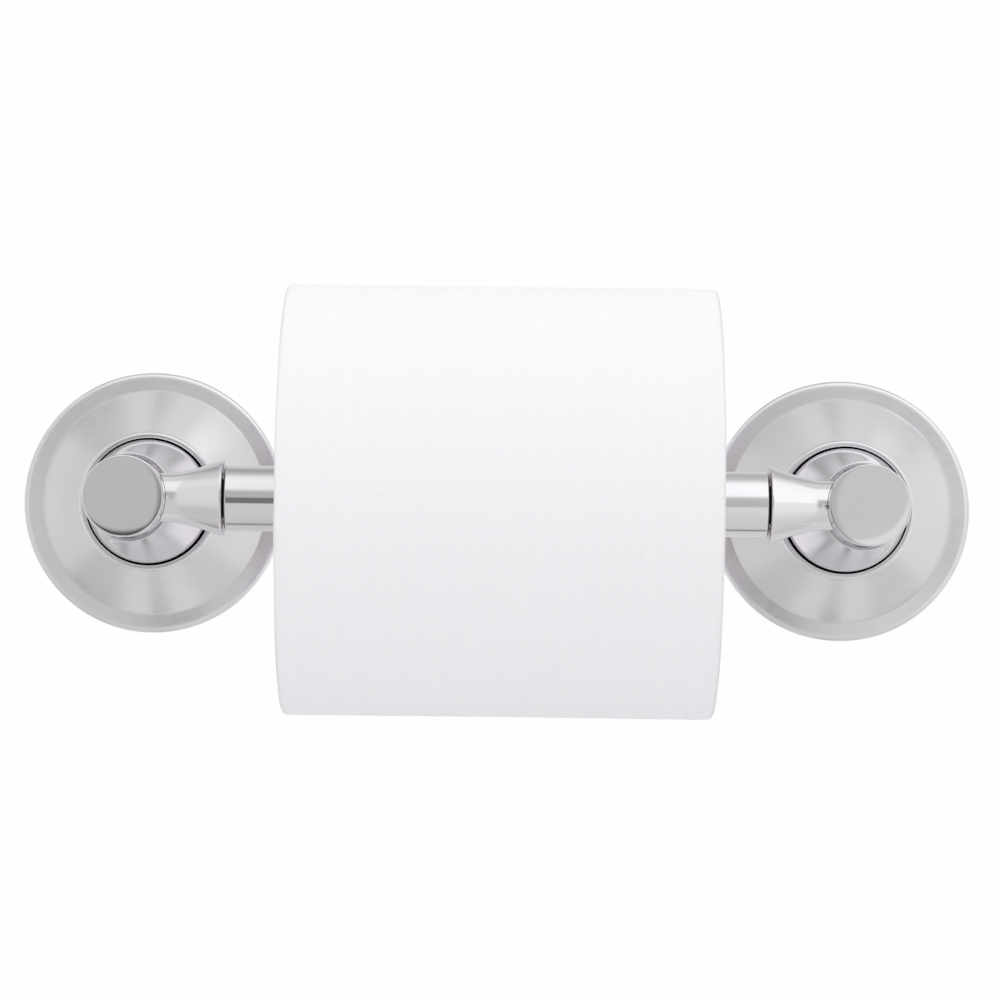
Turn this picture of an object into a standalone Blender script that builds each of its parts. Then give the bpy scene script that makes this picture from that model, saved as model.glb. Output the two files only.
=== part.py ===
"""Wall-mounted toilet paper holder: two chrome posts on domed flanges, a spring roller and a loaded roll.

The wall is the plane y = 0 and the holder stands out towards -Y. The origin lies on the wall, midway
between the posts and level with the roller. Metres, +Z up. Most pieces are turned profiles: a list of
(along, radius) points spun about one line.
"""

import math
from itertools import pairwise

import bmesh
import bpy
from mathutils import Matrix

MM = 0.001
GAP = 0.0003  # air between pieces that touch

# Where the two posts stand, and how far the roller is from the wall.
POST_SPACING = 0.177
AXIS_DEPTH = 0.070
POST_FACE_DEPTH = 0.080
SIDES = (("left", -1), ("right", 1))
ENDS = (("upper", 1), ("lower", -1))

# Flange: a domed cover with a rolled rim, a raised bead and a sunk seat for the post.
FLANGE_RADIUS = 0.0335
RIM_INNER_RADIUS = 0.0290
RIM_HEIGHT = 0.0043
RIM_SIDE_HEIGHT = 0.0027  # the rim's straight side, up from the wall
RIM_ROUND = 0.0012
FLANGE_BORE = 0.0282  # inside of the rim
DOME_TOP_RADIUS = 0.0178
DOME_TOP_HEIGHT = 0.0166
DOME_SWELL = 0.0001
BEAD_HEIGHT = 0.0176
WELL_RADIUS = 0.0162
SEAT_FRONT = 0.0110
SEAT_BACK = 0.0090
SEAT_HOLE = 0.0034
SKIN = 0.0015

# Post: a flared stem with a round head.
COLLAR_RADIUS = 0.0159
COLLAR_DEPTH = 0.0184
HEAD_RADIUS = 0.00975
FLARE_END_DEPTH = 0.066
FLARE_POWER = 1.8
HEAD_ROUND = 0.0005
POST_BORE_DEPTH = 0.0270

# Roller cup: the trumpet on the side of each head. Lengths are from the post's axis.
CUP_START = 0.0070
CUP_WAIST = 0.0105
CUP_RIM = 0.0232
CUP_RIM_RADIUS = 0.00915
CUP_WAIST_RADIUS = 0.00585
CUP_MOUTH_RADIUS = 0.0083
CUP_POWER = 1.4
CUP_FLOOR = 0.0146
CUP_FLOOR_RADIUS = 0.0054
COUNTERBORE_FLOOR = 0.0124
COUNTERBORE_RADIUS = 0.0040

# Wall plate with its screws and anchors.
PLATE_RADIUS = 0.0270
PLATE_THICKNESS = 0.0030
SCREW_OFFSET = 0.0170
SCREW_HOLE = 0.0026
WALL_SCREW_RADIUS = 0.0020
WALL_SCREW_HEAD = 0.0039
WALL_SCREW_REACH = 0.0280  # how far it goes into the wall
ANCHOR_LENGTH = 0.0300
ANCHOR_BORE = 0.0024

# Fastenings inside the flange, and the screw behind each cup.
BOLT_RADIUS = 0.0030
BOLT_HEAD_RADIUS = 0.0048
BOLT_END_DEPTH = 0.0250
WASHER_RADIUS = 0.0062
WASHER_THICKNESS = 0.0009
SET_SCREW_RADIUS = 0.0011
SET_SCREW_DEPTH = 0.0017
SET_SCREW_END = 0.0302  # its outer end, from the post's axis
CUP_SCREW_RADIUS = 0.0020
CUP_SCREW_HEAD = 0.0035
CUP_SCREW_END = 0.0030

# Spring roller: two telescoping barrel halves with chrome end tubes.
BARREL_HALF_LENGTH = 0.0480
SLEEVE_RADIUS = 0.0195
SLEEVE_BORE = 0.0181
SLEEVE_MOUTH = 0.0200
INNER_RADIUS = 0.0170
INNER_BORE = 0.0156
INNER_END = -0.0080
BARREL_WALL = 0.0020
SPIGOT_RADIUS = 0.0066
SPIGOT_LENGTH = 0.0100
TUBE_RADIUS = 0.00785
TUBE_BORE = 0.0069
TUBE_START = 0.0483
TUBE_END = 0.0649
TIP_END = 0.0733
TIP_RADIUS = 0.0046
TIP_SHOULDER = 0.0635
SPRING_RADIUS = 0.0120
SPRING_WIRE = 0.0008
SPRING_TURNS = 8

# The loaded roll.
ROLL_CENTRE_X = 0.0008
ROLL_WIDTH = 0.102
ROLL_RADIUS = 0.0515
ROLL_EDGE = 0.0010
CORE_BORE = 0.0200
CORE_WALL = 0.0009

ALONG_X = Matrix.Rotation(math.radians(90), 4, "Y")  # turns +Z to +X
ALONG_OUT = Matrix.Rotation(math.radians(90), 4, "X")  # turns +Z to -Y, out of the wall

# name: (colour, roughness, metallic)
FINISHES = {
    "chrome": ((0.78, 0.78, 0.80), 0.08, 1.0),
    "zinc_steel": ((0.62, 0.62, 0.63), 0.35, 1.0),
    "steel_wire": ((0.55, 0.55, 0.56), 0.30, 1.0),
    "white_plastic": ((0.86, 0.86, 0.84), 0.45, 0.0),
    "dark_plastic": ((0.06, 0.06, 0.065), 0.45, 0.0),
    "anchor_plastic": ((0.72, 0.72, 0.70), 0.50, 0.0),
    "cardboard": ((0.52, 0.40, 0.27), 0.90, 0.0),
    "paper": ((0.93, 0.93, 0.94), 0.95, 0.0),
}


def clear_scene():
    for thing in list(bpy.data.objects):
        bpy.data.objects.remove(thing, do_unlink=True)


def finish_material(name):
    """The Principled material of that finish, made once."""
    found = bpy.data.materials.get(name)
    if found:
        return found
    colour, roughness, metallic = FINISHES[name]
    made = bpy.data.materials.new(name)
    made.use_nodes = True
    shader = made.node_tree.nodes["Principled BSDF"]
    shader.inputs["Base Color"].default_value = (*colour, 1.0)
    shader.inputs["Roughness"].default_value = roughness
    shader.inputs["Metallic"].default_value = metallic
    return made


def place(name, mesh, finish, location, turn=None, parent=None):
    """An object of that mesh, at that place under its parent."""
    piece = bpy.data.objects.new(name, mesh)
    bpy.context.collection.objects.link(piece)
    if finish and not mesh.materials:
        mesh.materials.append(finish_material(finish))
    piece.parent = parent
    piece.matrix_local = Matrix.Translation(location) @ (turn or Matrix())
    return piece


def turned(name, profile, segments, phase=0.0):
    """A mesh spun about Z from (along, radius) points, which run round the section.

    A section that starts and ends on the axis is solid, and any other is closed into a ring.
    The phase is where the first edge stands, as a share of one segment.
    """
    work = bmesh.new()
    rings = []
    for along, radius in profile:
        if radius == 0:
            rings.append([work.verts.new((0, 0, along))])
            continue
        angles = [2 * math.pi * (k + phase) / segments for k in range(segments)]
        ring = [(radius * math.cos(a), radius * math.sin(a), along) for a in angles]
        rings.append([work.verts.new(point) for point in ring])
    pairs = list(pairwise(rings))
    if profile[0][1] and profile[-1][1]:
        pairs.append((rings[-1], rings[0]))
    for first, second in pairs:
        for k in range(segments):
            corners = [first[k % len(first)], first[(k + 1) % segments % len(first)]]
            corners += [second[(k + 1) % segments % len(second)], second[k % len(second)]]
            work.faces.new(list(dict.fromkeys(corners)))
    bmesh.ops.recalc_face_normals(work, faces=work.faces)
    mesh = bpy.data.meshes.new(name)
    work.to_mesh(mesh)
    work.free()
    mesh.shade_smooth()
    mesh.set_sharp_from_angle(angle=math.radians(35))
    return mesh


def arc(centre, radii, start, end, steps):
    """Points (along, radius) on part of an ellipse, with angles in degrees from the radial direction."""
    turns = [math.radians(start + (end - start) * k / steps) for k in range(steps + 1)]
    return [(centre[0] + radii[0] * math.sin(t), centre[1] + radii[1] * math.cos(t)) for t in turns]


def cutter(name, mesh, location, turn, parent=None):
    """A hidden solid that a Boolean takes away."""
    tool = place(name, mesh, None, location, turn, parent)
    tool.display_type = "WIRE"
    tool.hide_render = True
    return tool


def cut(piece, tool):
    take = piece.modifiers.new(tool.name, "BOOLEAN")
    take.operation = "DIFFERENCE"
    take.solver = "EXACT"
    take.object = tool


def rod(name, radius, start, end, segments, phase=0.0):
    """A plain round bar from start to end along Z."""
    return turned(name, [(start, 0), (start, radius), (end, radius), (end, 0)], segments, phase)


def flange_profile():
    """The flange's section, outside from the wall to the bead, then the seat, then back along the inside."""
    rim = arc((RIM_SIDE_HEIGHT, FLANGE_RADIUS - RIM_ROUND), (RIM_ROUND, RIM_ROUND), 0, 75, 3)
    rise = DOME_TOP_HEIGHT - RIM_HEIGHT
    run = RIM_INNER_RADIUS - DOME_TOP_RADIUS
    dome = []
    for k in range(4):
        t = k / 3
        swell = DOME_SWELL * math.sin(math.pi * t)
        dome.append((RIM_HEIGHT + rise * t + swell, RIM_INNER_RADIUS - run * t + swell))
    crest = (DOME_TOP_RADIUS + WELL_RADIUS) / 2
    shoulder = 0.3 * MM
    bead = [
        (BEAD_HEIGHT - shoulder, DOME_TOP_RADIUS - shoulder),
        (BEAD_HEIGHT, crest),
        (BEAD_HEIGHT - shoulder, WELL_RADIUS),
    ]
    seat = [(SEAT_FRONT, WELL_RADIUS), (SEAT_FRONT, SEAT_HOLE), (SEAT_BACK, SEAT_HOLE)]
    inside = [
        (SEAT_BACK, WELL_RADIUS + SKIN),
        (DOME_TOP_HEIGHT - 2.2 * SKIN, WELL_RADIUS + SKIN),
        (RIM_HEIGHT, FLANGE_BORE - SKIN),
        (RIM_HEIGHT - SKIN, FLANGE_BORE),
        (0, FLANGE_BORE),
    ]
    return [(0, FLANGE_RADIUS), *rim, *dome, *bead, *seat, *inside]


def post_profile():
    """The post's section from the bottom of its blind bore, out over its foot and up to its face."""
    foot = SEAT_FRONT + GAP
    bore = BOLT_RADIUS + GAP
    chamfer = 0.2 * MM
    points = [(POST_BORE_DEPTH, 0), (POST_BORE_DEPTH, bore), (foot, bore)]
    points += [(foot, COLLAR_RADIUS - chamfer), (foot + chamfer, COLLAR_RADIUS)]
    steps = 6
    for k in range(steps + 1):
        left = 1 - k / steps
        depth = FLARE_END_DEPTH - (FLARE_END_DEPTH - COLLAR_DEPTH) * left
        radius = HEAD_RADIUS + (COLLAR_RADIUS - HEAD_RADIUS) * left**FLARE_POWER
        points.append((depth, radius))
    corner = (POST_FACE_DEPTH - HEAD_ROUND, HEAD_RADIUS - HEAD_ROUND)
    points += arc(corner, (HEAD_ROUND, HEAD_ROUND), 0, 90, 3)
    return [*points, (POST_FACE_DEPTH, 0)]


def cup_outline(t):
    """The trumpet's radius at t, from 0 at the waist to 1 at the rim."""
    return CUP_WAIST_RADIUS + (CUP_RIM_RADIUS - CUP_WAIST_RADIUS) * t**CUP_POWER


def cup_profile():
    """The trumpet's section, outside from the post to the rim, then in down its bore."""
    rim_width = 0.5 * MM
    mouth_depth = 1.3 * MM
    ledge = 0.9 * MM
    steps = 5
    points = [(CUP_START, CUP_WAIST_RADIUS)]
    for k in range(steps + 1):
        along = CUP_WAIST + (CUP_RIM - rim_width - CUP_WAIST) * k / steps
        points.append((along, cup_outline(k / steps)))
    step = CUP_RIM - mouth_depth
    clear = CUP_SCREW_RADIUS + GAP
    return [
        *points,
        (CUP_RIM, CUP_RIM_RADIUS),
        (CUP_RIM, CUP_MOUTH_RADIUS),
        (step, CUP_MOUTH_RADIUS),
        (step, CUP_MOUTH_RADIUS - ledge),
        (CUP_FLOOR, CUP_FLOOR_RADIUS),
        (CUP_FLOOR, COUNTERBORE_RADIUS),
        (COUNTERBORE_FLOOR, COUNTERBORE_RADIUS),
        (COUNTERBORE_FLOOR, clear),
        (CUP_START, clear),
    ]


def wall_screw_profile():
    """A pan-head screw along +Z out of the wall: point, shank, head."""
    seat = PLATE_THICKNESS + GAP
    point_length = 4 * MM
    side_end = seat + 1.2 * MM
    head_end = seat + 2.2 * MM
    flat = 0.6 * WALL_SCREW_HEAD
    return [
        (-WALL_SCREW_REACH, 0),
        (point_length - WALL_SCREW_REACH, WALL_SCREW_RADIUS),
        (seat, WALL_SCREW_RADIUS),
        (seat, WALL_SCREW_HEAD),
        (side_end, WALL_SCREW_HEAD),
        (head_end, flat),
        (head_end, 0),
    ]


def anchor_profile():
    """A plastic sleeve sunk in the wall, open at both ends, with a lip flush with the wall."""
    lip, body, tail = 4.6 * MM, 3.6 * MM, 3.1 * MM
    lip_back = -GAP - 1.0 * MM
    body_front = -GAP - 1.4 * MM
    return [
        (-GAP, lip),
        (lip_back, lip),
        (body_front, body),
        (-ANCHOR_LENGTH, tail),
        (-ANCHOR_LENGTH, ANCHOR_BORE),
        (-GAP, ANCHOR_BORE),
    ]


def bolt_profile():
    """The bolt that draws the post on to the flange's seat, head towards the wall."""
    head_start = PLATE_THICKNESS + 0.7 * MM
    head_end = head_start + 3.8 * MM
    chamfer = 1.0 * MM
    return [
        (head_start, 0),
        (head_start, BOLT_HEAD_RADIUS),
        (head_end, BOLT_HEAD_RADIUS),
        (head_end, BOLT_RADIUS),
        (BOLT_END_DEPTH - chamfer, BOLT_RADIUS),
        (BOLT_END_DEPTH, BOLT_RADIUS - chamfer),
        (BOLT_END_DEPTH, 0),
    ]


def washer_profile():
    front = SEAT_BACK - GAP
    back = front - WASHER_THICKNESS
    inner = BOLT_RADIUS + GAP
    return [(back, inner), (back, WASHER_RADIUS), (front, WASHER_RADIUS), (front, inner)]


def cup_screw_profile():
    """The screw that holds the cup on the post, with its head in the cup's counterbore."""
    seat = COUNTERBORE_FLOOR + GAP
    side_end = seat + 1.2 * MM
    head_end = seat + 1.6 * MM
    chamfer = 0.4 * MM
    return [
        (CUP_SCREW_END, 0),
        (CUP_SCREW_END, CUP_SCREW_RADIUS - chamfer),
        (CUP_SCREW_END + 2 * chamfer, CUP_SCREW_RADIUS),
        (seat, CUP_SCREW_RADIUS),
        (seat, CUP_SCREW_HEAD),
        (side_end, CUP_SCREW_HEAD),
        (head_end, CUP_SCREW_HEAD - 2 * chamfer),
        (head_end, 0),
    ]


def plate_profile():
    """A round plate whose back edge is bevelled, so that the set screw draws the flange to the wall."""
    bevel = 1.2 * MM
    return [
        (0, 0),
        (0, PLATE_RADIUS - bevel),
        (bevel, PLATE_RADIUS),
        (PLATE_THICKNESS - GAP, PLATE_RADIUS),
        (PLATE_THICKNESS, PLATE_RADIUS - GAP),
        (PLATE_THICKNESS, 0),
    ]


def sleeve_profile():
    """The outer barrel half: a spigot, an end wall and a long cup whose mouth has a lip."""
    lip = 1.5 * MM
    chamfer = 0.5 * MM
    wall = BARREL_HALF_LENGTH - BARREL_WALL
    return [
        (-BARREL_HALF_LENGTH - SPIGOT_LENGTH, 0),
        (-BARREL_HALF_LENGTH - SPIGOT_LENGTH, SPIGOT_RADIUS),
        (-BARREL_HALF_LENGTH, SPIGOT_RADIUS),
        (-BARREL_HALF_LENGTH, SLEEVE_RADIUS - chamfer),
        (chamfer - BARREL_HALF_LENGTH, SLEEVE_RADIUS),
        (SLEEVE_MOUTH, SLEEVE_RADIUS),
        (SLEEVE_MOUTH, INNER_RADIUS + GAP),
        (SLEEVE_MOUTH - lip, INNER_RADIUS + GAP),
        (SLEEVE_MOUTH - lip, SLEEVE_BORE),
        (-wall, SLEEVE_BORE),
        (-wall, 0),
    ]


def plunger_profile():
    """The inner barrel half: a lip that can't leave the sleeve, a tube, a collar and a spigot."""
    lip = 1.5 * MM
    collar = 4.0 * MM
    chamfer = 0.5 * MM
    return [
        (BARREL_HALF_LENGTH + SPIGOT_LENGTH, 0),
        (BARREL_HALF_LENGTH + SPIGOT_LENGTH, SPIGOT_RADIUS),
        (BARREL_HALF_LENGTH, SPIGOT_RADIUS),
        (BARREL_HALF_LENGTH, SLEEVE_RADIUS - chamfer),
        (BARREL_HALF_LENGTH - chamfer, SLEEVE_RADIUS),
        (BARREL_HALF_LENGTH - collar, SLEEVE_RADIUS),
        (BARREL_HALF_LENGTH - collar, INNER_RADIUS),
        (INNER_END + lip, INNER_RADIUS),
        (INNER_END + lip, SLEEVE_BORE - GAP),
        (INNER_END, SLEEVE_BORE - GAP),
        (INNER_END, INNER_BORE),
        (BARREL_HALF_LENGTH - BARREL_WALL, INNER_BORE),
        (BARREL_HALF_LENGTH - BARREL_WALL, 0),
    ]


def tube_profile():
    """A chrome end tube, open at both ends, with its outer edge eased."""
    ease = 0.3 * MM
    return [
        (TUBE_START, TUBE_BORE),
        (TUBE_START, TUBE_RADIUS),
        (TUBE_END - ease, TUBE_RADIUS),
        (TUBE_END, TUBE_RADIUS - ease),
        (TUBE_END, TUBE_BORE),
    ]


def tip_profile():
    """The nose that turns in the roller cup, with its plug inside the end tube."""
    plug_start = BARREL_HALF_LENGTH + SPIGOT_LENGTH + GAP
    ease = 1.0 * MM
    return [
        (plug_start, 0),
        (plug_start, SPIGOT_RADIUS),
        (TIP_SHOULDER - ease, SPIGOT_RADIUS),
        (TIP_SHOULDER, TIP_RADIUS),
        (TIP_END - ease, TIP_RADIUS),
        (TIP_END, TIP_RADIUS - ease),
        (TIP_END, 0),
    ]


def ring_profile(start, end, inner, outer, ease):
    """A tube's section with its two outer edges eased."""
    return [
        (start, inner),
        (start, outer - ease),
        (start + 0.3 * ease, outer - 0.3 * ease),
        (start + ease, outer),
        (end - ease, outer),
        (end - 0.3 * ease, outer - 0.3 * ease),
        (end, outer - ease),
        (end, inner),
    ]


def spring_mesh(name):
    """A compression spring along X with a closed coil at each end, just clear of both end walls."""
    per_turn = 10
    reach = BARREL_HALF_LENGTH - BARREL_WALL - GAP - SPRING_WIRE
    closed = 2 * SPRING_WIRE + 2 * GAP
    count = SPRING_TURNS * per_turn
    pitch = (2 * reach - 2 * closed) / (SPRING_TURNS - 2)
    curve = bpy.data.curves.new(name, "CURVE")
    curve.dimensions = "3D"
    curve.bevel_depth = SPRING_WIRE
    curve.bevel_resolution = 1
    curve.use_fill_caps = True
    spline = curve.splines.new("POLY")
    spline.points.add(count)
    for k, point in enumerate(spline.points):
        turn = k / per_turn
        open_turns = min(max(turn - 1, 0), SPRING_TURNS - 2)
        along = closed * (min(turn, 1) + max(turn - SPRING_TURNS + 1, 0)) + pitch * open_turns - reach
        angle = 2 * math.pi * turn
        point.co = (along, SPRING_RADIUS * math.cos(angle), SPRING_RADIUS * math.sin(angle), 1)
    return curve


def anchor_point(name, location):
    """An empty that carries the pieces of one group."""
    empty = bpy.data.objects.new(name, None)
    bpy.context.collection.objects.link(empty)
    empty.location = location
    return empty


def shared_meshes():
    """The turned meshes that both posts use, and the solids that cut them."""
    half = 0.5  # keeps a cutter's edges off the edges that it cuts
    past = 5 * MM  # how far a cutter reaches past what it cuts
    saddle_start = AXIS_DEPTH - 2 * CUP_WAIST_RADIUS
    screw_hole = CUP_SCREW_RADIUS + GAP
    rim_hole = SET_SCREW_RADIUS + GAP
    return {
        "flange": turned("flange", flange_profile(), 36),
        "post": turned("post", post_profile(), 28),
        "cup": turned("roller_cup", cup_profile(), 24),
        "plate": turned("wall_plate", plate_profile(), 36),
        "wall_screw": turned("wall_screw", wall_screw_profile(), 12),
        "anchor": turned("wall_anchor", anchor_profile(), 12),
        "bolt": turned("post_bolt", bolt_profile(), 12),
        "washer": turned("post_washer", washer_profile(), 16),
        "cup_screw": turned("cup_screw", cup_screw_profile(), 12),
        "set_screw": rod("set_screw", SET_SCREW_RADIUS, -SET_SCREW_END, -PLATE_RADIUS - GAP, 10),
        "screw_hole": rod("screw_hole", SCREW_HOLE, -PLATE_THICKNESS, 2 * PLATE_THICKNESS, 16, half),
        "saddle": rod("saddle", HEAD_RADIUS + GAP, saddle_start, POST_FACE_DEPTH + past, 40, half),
        "side_hole": rod("side_hole", screw_hole, CUP_SCREW_END - GAP, HEAD_RADIUS + past, 12, half),
        "rim_hole": rod("rim_hole", rim_hole, -FLANGE_RADIUS - past, GAP - PLATE_RADIUS, 16, half),
    }


def build_side(side, sign, meshes):
    """Everything that is fixed to the wall at one post."""
    foot = anchor_point("foot_" + side, (sign * POST_SPACING / 2, 0, 0))
    here = (0, 0, 0)
    plate = place("wall_plate_" + side, meshes["plate"], "zinc_steel", here, ALONG_OUT, foot)
    for end, up in ENDS:
        at = (0, 0, up * SCREW_OFFSET)
        tag = f"{side}_{end}"
        cut(plate, cutter("screw_hole_" + tag, meshes["screw_hole"], at, ALONG_OUT, foot))
        place("wall_screw_" + tag, meshes["wall_screw"], "zinc_steel", at, ALONG_OUT, foot)
        place("wall_anchor_" + tag, meshes["anchor"], "anchor_plastic", at, ALONG_OUT, foot)

    flange = place("flange_" + side, meshes["flange"], "chrome", here, ALONG_OUT, foot)
    low = (0, -SET_SCREW_DEPTH, 0)
    cut(flange, cutter("rim_hole_" + side, meshes["rim_hole"], low, None, foot))
    place("set_screw_" + side, meshes["set_screw"], "zinc_steel", low, None, foot)

    inward = Matrix.Rotation(math.radians(-90 * sign), 4, "Y")
    level = (0, -AXIS_DEPTH, 0)
    post = place("post_" + side, meshes["post"], "chrome", here, ALONG_OUT, foot)
    cut(post, cutter("side_hole_" + side, meshes["side_hole"], level, inward, foot))
    place("post_bolt_" + side, meshes["bolt"], "zinc_steel", here, ALONG_OUT, foot)
    place("post_washer_" + side, meshes["washer"], "zinc_steel", here, ALONG_OUT, foot)
    cup = place("roller_cup_" + side, meshes["cup"], "chrome", level, inward, foot)
    cut(cup, cutter("saddle_" + side, meshes["saddle"], here, ALONG_OUT, foot))
    place("cup_screw_" + side, meshes["cup_screw"], "zinc_steel", level, inward, foot)


def build_roller():
    """The two barrel halves with their end tubes, tips and spring, all on the roller's axis."""
    axis = anchor_point("roller_axis", (0, -AXIS_DEPTH, 0))
    here = (0, 0, 0)
    sleeve = turned("barrel_sleeve", sleeve_profile(), 30)
    plunger = turned("barrel_plunger", plunger_profile(), 30)
    place("barrel_sleeve", sleeve, "white_plastic", here, ALONG_X, axis)
    place("barrel_plunger", plunger, "white_plastic", here, ALONG_X, axis)
    tube = turned("end_tube", tube_profile(), 28)
    tip = turned("end_tip", tip_profile(), 20)
    for side, sign in SIDES:
        outward = Matrix.Rotation(math.radians(90 * sign), 4, "Y")
        place("end_tube_" + side, tube, "chrome", here, outward, axis)
        place("end_tip_" + side, tip, "dark_plastic", here, outward, axis)
    place("roller_spring", spring_mesh("roller_spring"), "steel_wire", here, None, axis)


def build_roll():
    """The paper and the cardboard tube it is wound on."""
    axis = anchor_point("roll_axis", (ROLL_CENTRE_X, -AXIS_DEPTH, 0))
    here = (0, 0, 0)
    half = ROLL_WIDTH / 2
    core_outside = CORE_BORE + CORE_WALL
    core = ring_profile(-half + GAP, half - GAP, CORE_BORE, core_outside, 0.2 * MM)
    paper = ring_profile(-half, half, core_outside + GAP, ROLL_RADIUS, ROLL_EDGE)
    place("cardboard_core", turned("cardboard_core", core, 30), "cardboard", here, ALONG_X, axis)
    place("paper_roll", turned("paper_roll", paper, 48), "paper", here, ALONG_X, axis)


def main():
    clear_scene()
    meshes = shared_meshes()
    for side, sign in SIDES:
        build_side(side, sign, meshes)
    build_roller()
    build_roll()


main()
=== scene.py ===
"""Wall-mounted toilet paper holder: its visible pieces, materials, light and camera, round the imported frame.

Lengths are metres unless a name says otherwise. Most pieces are turned: a section of (along, radius)
points spun about one line, with a shape function where the real piece isn't round, such as a thread,
a hexagon or the saddle where a cup meets its post.
"""

import math
from itertools import pairwise

import bmesh
import bpy
import numpy as np
from mathutils import Matrix, Vector


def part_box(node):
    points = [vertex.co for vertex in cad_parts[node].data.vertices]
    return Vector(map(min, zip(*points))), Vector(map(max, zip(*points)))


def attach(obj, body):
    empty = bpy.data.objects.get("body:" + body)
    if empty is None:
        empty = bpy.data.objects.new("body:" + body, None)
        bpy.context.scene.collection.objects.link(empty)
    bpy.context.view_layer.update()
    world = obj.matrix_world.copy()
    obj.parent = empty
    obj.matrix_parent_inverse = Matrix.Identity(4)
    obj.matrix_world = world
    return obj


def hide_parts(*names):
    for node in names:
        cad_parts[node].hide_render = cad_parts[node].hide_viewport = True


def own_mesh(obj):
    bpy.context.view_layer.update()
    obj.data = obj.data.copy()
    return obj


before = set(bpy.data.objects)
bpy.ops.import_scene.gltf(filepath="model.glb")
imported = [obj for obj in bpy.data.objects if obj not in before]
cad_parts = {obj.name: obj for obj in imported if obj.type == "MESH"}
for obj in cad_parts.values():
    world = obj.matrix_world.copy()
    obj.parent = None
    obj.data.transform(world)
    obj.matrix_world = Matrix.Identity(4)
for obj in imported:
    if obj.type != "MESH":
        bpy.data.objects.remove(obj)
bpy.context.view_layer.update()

MM = 0.001
FULL_TURN = 2 * math.pi
SIDES = (("left", -1), ("right", 1))
ENDS = (("upper", 1), ("lower", -1))
ALONG_X = Matrix.Rotation(math.radians(90), 4, "Y")  # turns +Z to +X
ALONG_OUT = Matrix.Rotation(math.radians(90), 4, "X")  # turns +Z to -Y, out of the wall


def middle(node):
    low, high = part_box(node)
    return (low + high) / 2


def reach(node):
    low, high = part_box(node)
    return high - low


def half_height(node):
    return reach(node).z / 2


def depths(node):
    """How far a node's back and front stand out from the wall."""
    low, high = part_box(node)
    return -high.y, -low.y


def ends(node):
    """Where a node starts and ends along the roller."""
    low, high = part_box(node)
    return low.x, high.x


# Places and main sizes, read from the frame.
POST_X = middle("flange_right").x
ROLLER_DEPTH = -middle("end_tube_right").y
FLANGE_RADIUS = half_height("flange_right")
BEAD_HEIGHT = depths("flange_right")[1]
FOOT_DEPTH, FACE_DEPTH = depths("post_right")
COLLAR_RADIUS = half_height("post_right")
CUP_RIM = POST_X - ends("roller_cup_right")[0]
CUP_RIM_RADIUS = half_height("roller_cup_right")
PLATE_RADIUS = half_height("wall_plate_right")
PLATE_THICKNESS = reach("wall_plate_right").y
SCREW_OFFSET = middle("wall_screw_right_upper").z
ANCHOR_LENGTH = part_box("wall_anchor_right_upper")[1].y
ANCHOR_LIP = half_height("wall_anchor_right_upper")
SCREW_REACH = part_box("wall_screw_right_upper")[1].y
SCREW_FRONT = depths("wall_screw_right_upper")[1]
SCREW_HEAD = half_height("wall_screw_right_upper")
BOLT_BACK, BOLT_FRONT = depths("post_bolt_right")
BOLT_HEAD = half_height("post_bolt_right")
WASHER_BACK, WASHER_FRONT = depths("post_washer_right")
WASHER_RADIUS = half_height("post_washer_right")
GRUB_OUTER = -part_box("set_screw_right")[0].z
GRUB_INNER = -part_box("set_screw_right")[1].z
GRUB_RADIUS = reach("set_screw_right").x / 2
GRUB_DEPTH = -middle("set_screw_right").y
CUP_SCREW_END, CUP_SCREW_START = (POST_X - x for x in ends("cup_screw_right"))
CUP_SCREW_HEAD = half_height("cup_screw_right")
TUBE_RADIUS = half_height("end_tube_right")
TUBE_START, TUBE_END = ends("end_tube_right")
TIP_START, TIP_END = ends("end_tip_right")
PLUG_RADIUS = half_height("end_tip_right")
SLEEVE_RADIUS = half_height("barrel_sleeve")
SLEEVE_MOUTH = ends("barrel_sleeve")[1]
INNER_END, SPIGOT_END = ends("barrel_plunger")
SPRING_START, SPRING_END = ends("roller_spring")
CORE_RADIUS = half_height("cardboard_core")
CORE_HALF = reach("cardboard_core").x / 2
ROLL_RADIUS = half_height("paper_roll")
ROLL_HALF = reach("paper_roll").x / 2
ROLL_X = middle("paper_roll").x

# Finer sizes, the same as the frame's solids have.
RIM_INNER_RADIUS = 0.0290
RIM_HEIGHT = 0.0043
RIM_SIDE_HEIGHT = 0.0027
RIM_ROUND = 0.0012
DOME_TOP_RADIUS = 0.0178
DOME_TOP_HEIGHT = 0.0166
DOME_SWELL = 0.0001
WELL_RADIUS = 0.0162
SEAT_FRONT = 0.0110
SEAT_BACK = 0.0090
SEAT_HOLE = 0.0034
FLANGE_BORE = 0.0282
SKIN = 0.0015
COLLAR_DEPTH = 0.0184
HEAD_RADIUS = 0.00975
FLARE_END_DEPTH = 0.066
FLARE_POWER = 1.8
POST_BORE_DEPTH = 0.0270
CUP_WAIST = 0.0105
CUP_WAIST_RADIUS = 0.00585
CUP_MOUTH_RADIUS = 0.0083
CUP_POWER = 1.4
CUP_FLOOR = 0.0146
CUP_FLOOR_RADIUS = 0.0054
COUNTERBORE_FLOOR = 0.0124
COUNTERBORE_RADIUS = 0.0040
SCREW_HOLE = 0.0026
WALL_SCREW_RADIUS = 0.0020
ANCHOR_BODY = 0.0036
ANCHOR_TAIL = 0.0031
ANCHOR_BORE = 0.0024
BOLT_RADIUS = 0.0030
CUP_SCREW_RADIUS = 0.0020
BARREL_HALF_LENGTH = 0.0480
SLEEVE_BORE = 0.0181
INNER_RADIUS = 0.0170
INNER_BORE = 0.0156
BARREL_WALL = 0.0020
SPIGOT_RADIUS = 0.0066
TUBE_BORE = 0.0069
TIP_RADIUS = 0.0046
TIP_SHOULDER = 0.0635
SPRING_WIRE = 0.0008
SPRING_TURNS = 8
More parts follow.
